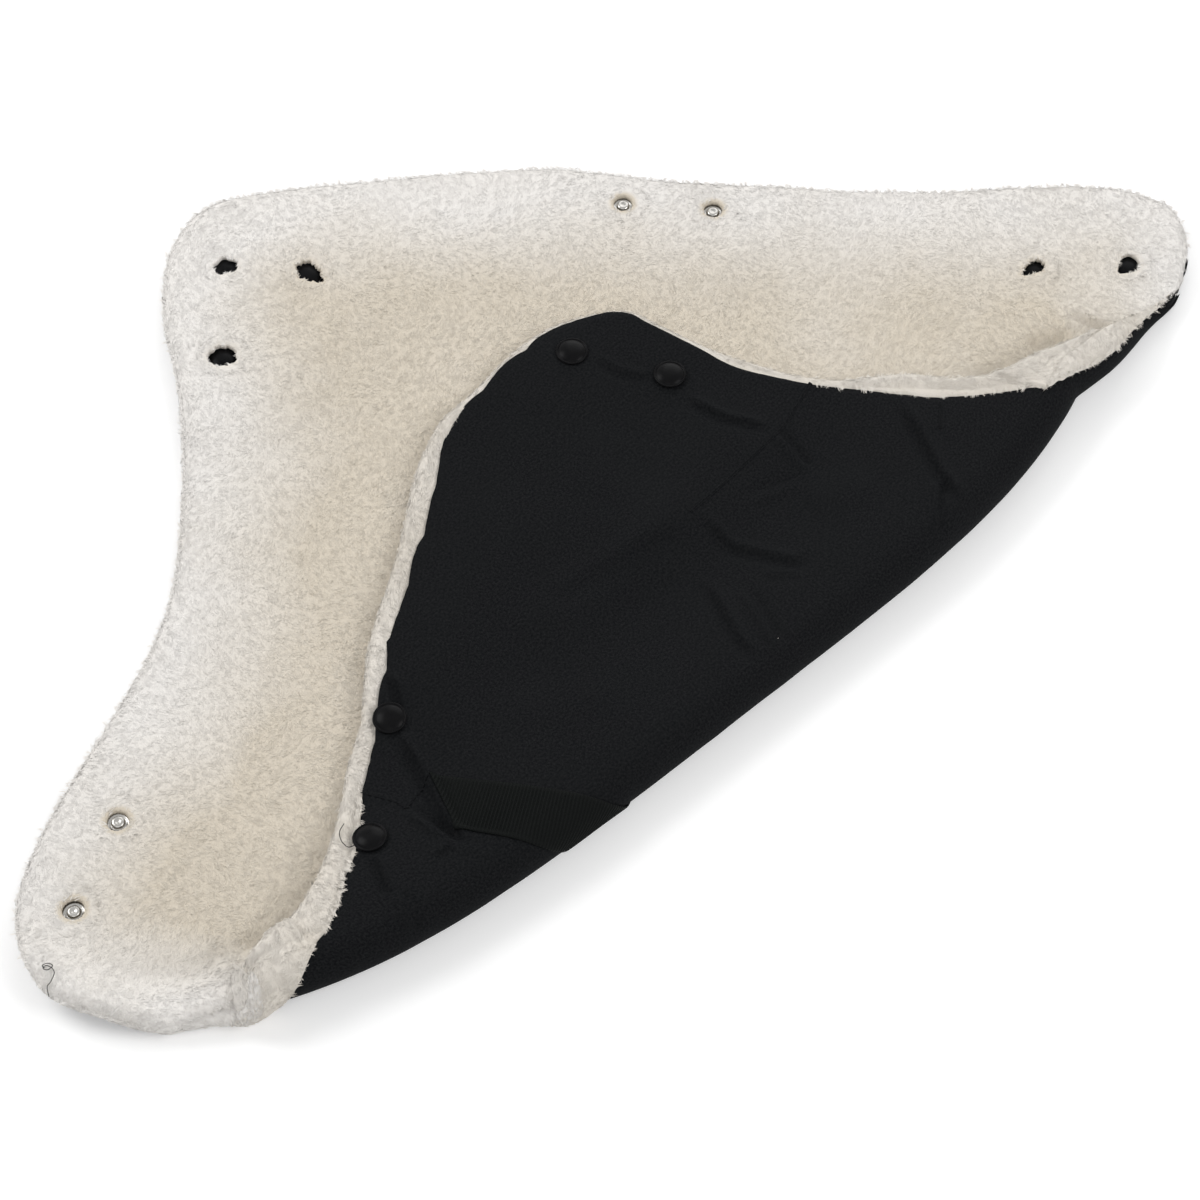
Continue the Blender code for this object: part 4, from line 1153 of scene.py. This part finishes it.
# The edge pile bushes out in small tufts, over the shell's end at both ends of the fold, and along the
# edge of the flat part.
FRINGE_STEP = 0.0014
EDGE_SKIPPED = 12
BIG_TUFTS, BIG_TUFT_SIZE = 0.12, 1.6


def passed_along(line):
    """The distance along a line of points to each of them."""
    return np.concatenate([[0.0], np.cumsum(np.linalg.norm(np.diff(line, axis=0), axis=1))])


def read_along(at, passed, values):
    """The values between those of a line's points, at distances along it."""
    return np.stack([np.interp(at, passed, column) for column in values.T], -1)


def add_fringe(name, line, inward, body, seed, length=0.0030):
    """Tufts at even steps along a line of points, which lean the way that inward says at each point."""
    random = np.random.default_rng(seed)
    passed = passed_along(line)
    count = int(np.ceil(passed[-1] / FRINGE_STEP))
    at = np.arange(0.0, passed[-1], FRINGE_STEP) + random.uniform(0.0, FRINGE_STEP, count)
    where, lean = read_along(at, passed, line), unit(read_along(at, passed, inward))
    where = where - lean * random.uniform(0.0006, 0.0022, (len(at), 1)) + UP * 0.0004
    way = lean + 0.6 * random.normal(size=where.shape)
    big = np.where(random.random(len(at)) < BIG_TUFTS, BIG_TUFT_SIZE, 1.0)[:, None, None]
    return add_locks(name, where, np.broadcast_to(UP, where.shape), way, body, seed + 1, length=length * big,
                     rise=0.0006, spread=0.0011, width=0.0004, loose=False)


for name, chosen in (("near", corner_share < 0.17), ("far", corner_share > 0.80)):
    add_fringe(f"pile_fringe_{name}", corner_edge[chosen], corner_in[chosen], "flap", 300)
near_up, far_line = np.linspace(0.30, 1.0, 60), np.linspace(0.213, 0.306, 90)
near_line = mix(FLOOR_START, CREST_START, near_up) + near_rim(near_up)
for name, along, up, along_step, path_step, sign in (
        ("near", near_line, near_up, -0.001, 0.0, -1.0),
        ("far", far_line, shell_reach(far_line), 0.0003, 0.001, 1.0)):
    path = (1.0 - up) * np.pi * ROLL_RADIUS
    lift = creases(along, path) * ease(up * 3.0 - 0.6) + 0.0006
    edge = plain_face(along, path, lift)
    inward = sign * (plain_face(along + along_step, path + path_step, lift) - edge)
    flatten_with_fold(add_fringe(f"pile_fold_fringe_{name}", edge, inward, "base", 310))
used = slice(EDGE_SKIPPED, -EDGE_SKIPPED)
add_fringe("pile_edge_fringe", sheet_edge[used], sheet_out[used], "base", 330, 0.0032)

# Where a snap goes through the pile, the pile closes over its rim in a ragged ring.
# Each opening: its half widths, the angle of the longer one, and where and how far it runs out to a point.
OPENINGS = [
    (0.0061, 0.0046, 0.15, 3.3, 0.0008), (0.0068, 0.0052, -0.6, 5.6, 0.0030),
    (0.0066, 0.0060, 0.1, 3.0, 0.0005), (0.0056, 0.0039, 0.6, 3.9, 0.0016),
    (0.0056, 0.0050, 1.2, 4.0, 0.0018), (0.0046, 0.0046, 0.0, 0.0, 0.0), (0.0046, 0.0046, 0.0, 0.0, 0.0),
    (0.0048, 0.0048, 0.0, 0.0, 0.0), (0.0048, 0.0048, 0.0, 0.0, 0.0),
]
RING_STEPS = 96
RING_CLEAR = 0.0012
RAGGED_CAP, RAGGED_STUD = 0.035, 0.012
# The ring's section: how far out of the way from the opening to its reach, and how high against the pile.
RING_OUT = np.array([0.10, -0.03, 0.00, 0.05, 0.14, 0.28, 0.45, 0.62, 0.80, 0.98, 1.30, 1.00, 0.70, 0.30])
RING_RISE = 0.001 * np.array([
    -3.8, -2.2, -0.85, -0.32, -0.12, -0.05, -0.02, 0.02, 0.04, -0.03, -0.60, -2.2, -3.6, -4.2,
])
ring_top = np.tile((RING_OUT > 0.03) & (RING_OUT < 0.97) & (RING_RISE > -0.001), (RING_STEPS, 1))
turn = np.linspace(0.0, 2.0 * np.pi, RING_STEPS, endpoint=False)
spokes = np.stack([np.cos(turn), np.sin(turn)], -1)
for number, (place, opening) in enumerate(zip((*PILE_CAPS, *PILE_STUDS), OPENINGS), 1):
    long_half, short_half, angle, point_at, point_out = opening
    middle, is_cap = place - MIDDLE, number <= len(PILE_CAPS)
    random = np.random.default_rng(200 + number)
    across, down = short_half * np.cos(turn - angle), long_half * np.sin(turn - angle)
    opening = long_half * short_half / np.hypot(across, down)
    opening = opening + point_out * np.exp(-((turn - point_at) / 0.30) ** 2)
    ragged = RAGGED_CAP if is_cap else RAGGED_STUD
    for waves in (2, 3, 5, 8, 13, 21):
        wave = ragged * random.normal() * np.cos(waves * turn + random.uniform(0.0, 6.28))
        opening = opening * (1.0 + wave)
    radius = opening[:, None] + (RING_REACH - opening)[:, None] * RING_OUT[None]
    ring_flat = middle + radius[..., None] * spokes[:, None]
    level = ground_rise(ring_flat) + LINING_LOW + PILE_THICKNESS + combed(ring_flat)
    ring = add_piece(f"pile_ring_{number}", raised(ring_flat, level + RING_RISE[None]),
                     [ring_faces(RING_STEPS, len(RING_OUT), True)], pile_body, "base")
    # The pile is painted darker and yellower towards the opening, most round the studs.
    darker_near_opening = (0.25 if is_cap else 1.1) * ease(1.0 - (radius - opening[:, None]) / 0.0035)
    add_values(ring, "tone", tone_and_shade_of(raised(ring_flat, 0.0)) + darker_near_opening.ravel())
    where, normal = scatter(ring, LOCK_CELL, 210 + number, ring_top)
    away = where[:, :2] - middle
    distance = np.linalg.norm(away, axis=1)
    bearing = np.arctan2(away[:, 1], away[:, 0])
    free = distance - np.interp(bearing % (2.0 * np.pi), turn, opening, period=2.0 * np.pi)
    kept = free > RING_CLEAR
    outward = raised(unit(away[kept]), 0.0)
    way = comb_way(where[kept]) + 1.2 * outward * ease(1.0 - free[kept] / 0.005)[:, None]
    add_locks(f"pile_ring_hair_{number}", where[kept], normal[kept], way, "base", 220 + number)
    if is_cap:
        # a few tufts that stand in from the opening's edge
        bearing = np.sort(random.uniform(0.0, 2.0 * np.pi, 22))
        edge = np.interp(bearing, turn, opening, period=2.0 * np.pi) + 0.0010
        spoke = np.stack([np.cos(bearing), np.sin(bearing)], -1)
        where = raised(middle + edge[:, None] * spoke, float(np.mean(level[:, 4])) - 0.0006)
        normal = np.broadcast_to(UP, where.shape)
        way = -raised(spoke, 0.0) + 0.9 * random.normal(size=where.shape) * (1.0, 1.0, 0.0)
        add_locks(f"pile_tuft_{number}", where, normal, way, "base", 240 + number, length=0.0026, rise=0.0004,
                  spread=0.0008, width=0.0004)

# Seams of the shell, where its panels are joined: two turned-in lips with the stitched line between them.
# Each is a list of distances along the fold and out from its crest.
SEAMS = {
    "seam_long": [
        (0.1402, -0.0905), (0.1382, -0.0900), (0.1248, -0.0858), (0.1103, -0.0818), (0.0797, -0.0786),
        (0.0500, -0.0758),
    ],
    "seam_short": [(0.1757, -0.0378), (0.1641, -0.0280)],
}
SEAM_ACROSS = np.array([-0.0010, -0.0008, -0.0004, -0.0001, 0.0001, 0.0004, 0.0008, 0.0010])
SEAM_RISE = np.array([-0.00015, 0.00012, 0.00036, 0.00003, 0.00003, 0.00036, 0.00012, -0.00015])


def line_on_shell(points, step):
    """Places at even steps along a smooth line on the cloth, and the way across it at each."""
    fine = curve_through(points, np.linspace(0.0, 1.0, 400))
    passed = passed_along(fine)
    line = read_along(np.linspace(0.0, passed[-1], max(2, int(passed[-1] / step))), passed, fine)
    slope = unit(np.gradient(line, axis=0))
    return line, np.stack([-slope[:, 1], slope[:, 0]], -1)


for name, points in SEAMS.items():
    line, cross = line_on_shell(points, 0.0006)
    at = line[:, None] + cross[:, None] * SEAM_ACROSS[None, :, None]
    foot, out = on_shell(at[..., 0], at[..., 1])
    add_shell(name, foot + out * SEAM_RISE[None, :, None], foot - out * 0.0005, at, "flap")

# A row of stitches in black thread that holds the webbing's end, and two loose ends of thread on the pile.
STITCH_LINE = [(-0.1481, -0.0578), (-0.1409, -0.0459), (-0.1386, -0.0403), (-0.1212, -0.0482)]
STITCH_PITCH, STITCH_LENGTH = 0.0026, 0.0019
THREAD_RADIUS, THREAD_SIDES = 0.00022, 8


def add_threads(name, lines, radius, body):
    """Round threads of one piece, each a closed tube along a line of points."""
    rings, quads, ends, start = [], [], [], 0
    for line in lines:
        slope = unit(np.gradient(line, axis=0))
        side = unit(np.cross(slope, UP))
        thick = np.full(len(line), radius)
        rings.append(rings_round(line, thick, side, np.cross(side, slope), THREAD_SIDES).reshape(-1, 3))
        around, first, last = tube_faces(len(line), THREAD_SIDES)
        quads.append(start + around)
        ends += [start + first, start + last]
        start += len(line) * THREAD_SIDES
    faces = [np.concatenate(quads), np.concatenate(ends)]
    piece = add_piece(name, np.concatenate(rings), faces, woven_black, body)
    cloth_map(piece, np.zeros((start, 2)))


line, cross = line_on_shell(STITCH_LINE, STITCH_PITCH)
stitches = []
for at, over in zip(line, cross):
    run = np.linspace(-0.5, 0.5, 7)[:, None] * STITCH_LENGTH
    along_line = at + run * np.array([over[1], -over[0]])
    height = THREAD_RADIUS * (1.6 - 6.0 * (run[:, 0] / STITCH_LENGTH) ** 2)
    foot, out = on_shell(*along_line.T)
    stitches.append(foot + out * height[:, None])
add_threads("webbing_stitches", stitches, THREAD_RADIUS, "flap")
CURLED_THREAD = [
    (-0.2268, -0.1886), (-0.2278, -0.1876), (-0.2258, -0.1861), (-0.2237, -0.1872), (-0.2251, -0.1897),
    (-0.2272, -0.1893), (-0.2262, -0.1878), (-0.2237, -0.1887), (-0.2225, -0.1913), (-0.2237, -0.1948),
    (-0.2251, -0.1966), (-0.2242, -0.2004),
]
HOOKED_THREAD = [
    (-0.1072, -0.1229), (-0.1089, -0.1270), (-0.1078, -0.1318), (-0.1047, -0.1351), (-0.1012, -0.1337),
]
share = np.linspace(0.0, 1.0, 60)
flat = curve_through(CURLED_THREAD, share) - MIDDLE
height = base_faces(flat, 1.0)[0] + 0.0007 + 0.0008 * np.sin(np.pi * share) ** 2
add_threads("thread_curled", [raised(flat, height)], THREAD_RADIUS * 0.8, "base")
flat = curve_through(HOOKED_THREAD, share) - MIDDLE
add_threads("thread_hooked", [raised(flat, flap_height(flat) + 0.0022)], THREAD_RADIUS * 0.8, "flap")

# Webbing: a ribbed band of black polyester sewn across the corner and over the fold.
BAND_START = np.array([-0.067, -0.113]) - MIDDLE
BAND_LEAN = np.radians(-11.0) - FOLD_ANGLE
BAND_WIDTH = 0.027
BAND_THICKNESS = 0.0009
BAND_CUT = (0.0008, 0.68)
BAND_GAP = 0.0003
BAND_WRAP = ROLL_RADIUS * np.radians(145.0)
RIB_PITCH = 0.0015
start_along, start_path = [float(value) for value in cloth_place(BAND_START)]


def band_line(across, length):
    """Distances along the fold and out from its crest, from those across the band and down it."""
    along = start_along + length * np.cos(BAND_LEAN) + across * np.sin(BAND_LEAN)
    path = start_path - length * np.sin(BAND_LEAN) + across * np.cos(BAND_LEAN)
    return along, path


def band_piece(name, first, last, body):
    """Part of the band between two paths, with ribs across it and a firm edge along each side."""
    across = np.linspace(-0.5, 0.5, 57)[None] * BAND_WIDTH
    slope = -np.sin(BAND_LEAN)
    from_path = band_line(across, BAND_CUT[0] + BAND_CUT[1] * across)[1] if first is None else first
    path = mix(from_path, last, np.linspace(0.0, 1.0, 170)[:, None])
    length = (path - band_line(across, 0.0)[1]) / slope
    along = band_line(across, length)[0]
    firm = np.exp(-(((np.abs(across) - 0.47 * BAND_WIDTH) / 0.0010) ** 2))
    shown = 1.0 - 0.5 * ease(path / 0.010)
    ribs = 0.00028 * shown * np.cos(2.0 * np.pi * length / RIB_PITCH) * (1.0 - firm) + 0.00018 * firm
    rounded = 0.5 * BAND_THICKNESS * (1.0 - np.clip((np.abs(across) / (0.5 * BAND_WIDTH)), 0, 1) ** 24)
    point, out = on_shell(along, path)
    middle = point + out * (BAND_GAP * 0.5 + 0.5 * BAND_THICKNESS)
    face = middle + out * (rounded + ribs)[..., None]
    rings = slab_rings(face, middle - out * (rounded * 0.9)[..., None])
    piece = add_piece(name, rings, slab_faces(*length.shape), webbing_black, body)
    values = np.stack(np.broadcast_arrays(across, length), -1)
    cloth_map(piece, slab_rings(values, values))
    declare_cloth(values)
    return piece


def webbing_finish():
    """Black ribbed webbing: a cosine down the band lifts each rib and paints it lighter, with painted shade
    between the ribs, over a grain and dust.
    """
    material, tree, shader = new_finish("ribbed_black", Roughness=0.7, Specular_IOR_Level=0.05)
    cloth = tree.node("ShaderNodeUVMap", {"uv_map": "cloth"}, {})
    down = tree.node("ShaderNodeSeparateXYZ", {}, {0: cloth}, 1)
    rib_and_shade = tree.math("COSINE", down * (2.0 * np.pi / RIB_PITCH)) * 0.5 + 0.5
    grain = noise(tree, cloth, 1400.0, 3.0, 0.7)
    dust = noise(tree, cloth, 90.0, 3.0, 0.6)
    color = blend_colors(tree, rib_and_shade * 0.4 + grain * 0.6, (0.0018, 0.0023, 0.0022), (0.0066, 0.0075, 0.0071))
    lead(blend_colors(tree, dust * 0.25, color, (0.0095, 0.0102, 0.0096)), shader, "Base Color")
    lead(grain * 0.3 + 0.5, shader, "Roughness")
    add_bump(shader, 0.6, 0.0003, rib_and_shade + grain * 0.6)
    return material


webbing_black = webbing_finish()
band = band_piece("webbing_corner", None, -CLOTH_GAP * 0.5, "flap")
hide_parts("webbing_band")
band_over = band_piece("webbing_fold", -CLOTH_GAP * 0.5, BAND_WRAP, "base")
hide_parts("fold_band")
flatten_with_fold(band_over)

# Snap fasteners: a domed plastic cap on one side, and a pressed metal stud or socket on the other.


def cap_finish():
    """Black moulded plastic: glossy, with faint wipe marks and dust."""
    material, tree, shader = new_finish("cap_plastic", Roughness=0.3, Specular_IOR_Level=0.05)
    place = tree.node("ShaderNodeTexCoord", {}, {}, 3)
    wipe = noise(tree, place, 420.0, 4.0, 0.6)
    dust = noise(tree, place, 2600.0, 2.0, 0.6)
    lead(blend_colors(tree, wipe, (0.0034, 0.0034, 0.0038), (0.0056, 0.0056, 0.0060)), shader, "Base Color")
    lead(wipe * 0.2 + 0.20, shader, "Roughness")
    add_bump(shader, 0.08, 0.0001, dust)
    return material


def snap_metal_finish():
    """Nickel-plated brass: bright, with soft wear that dulls it and darker stains."""
    material, tree, shader = new_finish("snap_nickel", Metallic=1.0, Roughness=0.25)
    place = tree.node("ShaderNodeTexCoord", {}, {}, 3)
    wear = noise(tree, place, 700.0, 4.0, 0.65)
    fine = noise(tree, place, 3800.0, 2.0, 0.6)
    lead(blend_colors(tree, wear, (0.50, 0.49, 0.47), (0.26, 0.25, 0.23)), shader, "Base Color")
    lead(wear * 0.3 + 0.12, shader, "Roughness")
    add_bump(shader, 0.12, 0.0001, fine)
    return material


cap_plastic, snap_nickel = cap_finish(), snap_metal_finish()
LATHE_STEPS = 72
TURNED_EDGE = 50.0
CAP_HEIGHT, STUD_HEIGHT, SOCKET_HEIGHT = 0.0027, 0.0030, 0.0026
SHANK_LENGTH, SHANK_RADIUS = 0.0030, 0.0017
rim_turn = np.radians(np.linspace(-80.0, 120.0, 9))
dome = np.linspace(0.0, 1.0, 9)
CAP_PROFILE = [
    (0.0, -SHANK_LENGTH), (SHANK_RADIUS + 0.0006, -SHANK_LENGTH), (SHANK_RADIUS, -SHANK_LENGTH + 0.0005),
    (SHANK_RADIUS, 0.0), (0.0052, 0.0), (0.0064, 0.0002),
]
CAP_PROFILE += [(0.00690 + 0.00060 * np.cos(a), 0.00075 + 0.00060 * np.sin(a)) for a in rim_turn]
CAP_PROFILE += [(0.0064, 0.0011), (0.0062, 0.0012)]
CAP_PROFILE += [(0.0060 * (1.0 - b), CAP_HEIGHT - 0.0013 * (1.0 - b) ** 2.6) for b in dome]
STUD_PROFILE = [
    (0.0, 0.0), (0.0046, 0.0), (0.0051, 0.0001), (0.0054, 0.0004), (0.0053, 0.0008), (0.0049, 0.0011),
    (0.0043, 0.0011), (0.0038, 0.0008), (0.0033, 0.00065), (0.0028, 0.0008), (0.0023, 0.0012),
    (0.00215, 0.0016), (0.0023, 0.0020), (0.00265, 0.0023), (0.0027, 0.0026), (0.0024, 0.0029),
    (0.0017, STUD_HEIGHT), (0.0011, 0.00293), (0.0006, 0.0027), (0.0, 0.0026),
]
SOCKET_PROFILE = [
    (0.0, 0.0), (0.0050, 0.0), (0.0057, 0.0001), (0.0062, 0.0005), (0.0062, 0.0013), (0.0058, 0.0019),
    (0.0052, 0.0023), (0.0044, SOCKET_HEIGHT), (0.0037, 0.0025), (0.0031, 0.0022), (0.0028, 0.0018),
    (0.0029, 0.0012), (0.0031, 0.0009), (0.0029, 0.0006), (0.0022, 0.0005), (0.0, 0.0005),
]


def middle_of(node):
    """The middle of a node's points, which is on the axis of a turned solid, and the points themselves."""
    points = np.empty(len(node.data.vertices) * 3)
    node.data.vertices.foreach_get("co", points)
    points = np.unique(np.round(points.reshape(-1, 3), 7), axis=0)
    return points.mean(axis=0), points


def turned(node, other, profile, height, material):
    """A profile turned round the line through the middles of a snap's two halves, in place of one of them.
    Its top is where the node's is."""
    middle, points = middle_of(node)
    axis = middle - middle_of(other)[0]
    axis /= np.linalg.norm(axis)
    foot = middle + axis * (((points - middle) @ axis).max() - height)
    side = np.cross(axis, (1.0, 0.0, 0.0))
    side /= np.linalg.norm(side)
    other_side = np.cross(axis, side)
    turn = np.linspace(0.0, 2.0 * np.pi, LATHE_STEPS, endpoint=False)
    out = np.cos(turn)[:, None] * side + np.sin(turn)[:, None] * other_side
    profile = np.array(profile)
    rings = foot + profile[1:-1, 0][:, None, None] * out[None] + profile[1:-1, 1][:, None, None] * axis
    poles = foot + profile[[0, -1], 1][:, None] * axis
    k = np.arange(LATHE_STEPS)
    after, count = (k + 1) % LATHE_STEPS, len(profile) - 2
    last = (count - 1) * LATHE_STEPS
    fans = np.concatenate([
        np.stack([after, k, np.full_like(k, count * LATHE_STEPS)], -1),
        np.stack([last + k, last + after, np.full_like(k, count * LATHE_STEPS + 1)], -1),
    ])
    body = "flap" if node.name.startswith(FLAP_SNAPS) else "base"
    piece = add_piece(f"turned_{node.name}", np.concatenate([rings.reshape(-1, 3), poles]),
                      [ring_faces(count, LATHE_STEPS), fans], material, body, TURNED_EDGE)
    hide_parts(node.name)


FLAP_SNAPS = ("cap_tip", "stud_tip", "cap_side", "socket_side")
for name, node in list(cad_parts.items()):
    if name.startswith("cap_"):
        stud, socket = [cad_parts.get(name.replace("cap_", kind)) for kind in ("stud_", "socket_")]
        turned(node, stud or socket, CAP_PROFILE, CAP_HEIGHT, cap_plastic)
        if stud:
            turned(stud, node, STUD_PROFILE, STUD_HEIGHT, snap_nickel)
        else:
            turned(socket, node, SOCKET_PROFILE, SOCKET_HEIGHT, snap_nickel)

# The floor, and plain soft light from all round with a large lamp over each side.
FLOOR_HALF, FLOOR_DROP = 6.0, 0.0004
AMBIENT = 0.38


def in_sight(tree):
    """1 for a ray from the camera, from a glossy surface or through one, else 0: the three outputs' sum."""
    seen, glossy, through = [tree.node("ShaderNodeLightPath", {}, {}, output) for output in (0, 3, 6)]
    return tree.math("ADD", seen + glossy, through, clamp=True)


floor_finish, tree, shader = new_finish("floor", Roughness=0.9, Specular_IOR_Level=0.1)
shader.inputs["Base Color"].default_value = (0.93, 0.93, 0.93, 1.0)
output = floor_finish.node_tree.nodes["Material Output"]
glow = floor_finish.node_tree.nodes.new("ShaderNodeEmission")
floor_finish.node_tree.links.new((in_sight(tree) * 0.22).socket, glow.inputs["Strength"])
both = floor_finish.node_tree.nodes.new("ShaderNodeAddShader")
floor_finish.node_tree.links.new(shader.outputs[0], both.inputs[0])
floor_finish.node_tree.links.new(glow.outputs[0], both.inputs[1])
floor_finish.node_tree.links.new(both.outputs[0], output.inputs["Surface"])
floor_mesh = bpy.data.meshes.new("floor")
corners = [(x * FLOOR_HALF, y * FLOOR_HALF, -FLOOR_DROP) for x, y in ((-1, -1), (1, -1), (1, 1), (-1, 1))]
floor_mesh.from_pydata(corners, [], [(0, 1, 2, 3)])
floor_mesh.materials.append(floor_finish)
floor = bpy.data.objects.new("floor", floor_mesh)
bpy.context.scene.collection.objects.link(floor)

world = bpy.data.worlds.new("studio")
bpy.context.scene.world = world
world.use_nodes = True
tree = Wire(world.node_tree)
background = world.node_tree.nodes["Background"]
level = in_sight(tree) * (1.0 - AMBIENT) + AMBIENT
world.node_tree.links.new(level.socket, background.inputs["Strength"])
background.inputs["Color"].default_value = (1.0, 1.0, 1.0, 1.0)
LAMPS = [
    ("lamp_left", (-1.3, 0.5, 1.2), 0.9, 14.0),
    ("lamp_right", (1.25, -0.45, 1.2), 0.9, 12.0),
    ("lamp_front", (-0.3, -1.5, 1.5), 1.4, 5.5),
    ("lamp_back", (0.3, 1.6, 0.9), 1.4, 11.0),
]
for name, place, size, watts in LAMPS:
    lamp = bpy.data.lights.new(name, "AREA")
    lamp.size, lamp.energy = size, watts
    light = bpy.data.objects.new(name, lamp)
    light.location = place
    light.rotation_euler = Vector(place).to_track_quat("Z", "Y").to_euler()
    bpy.context.scene.collection.objects.link(light)
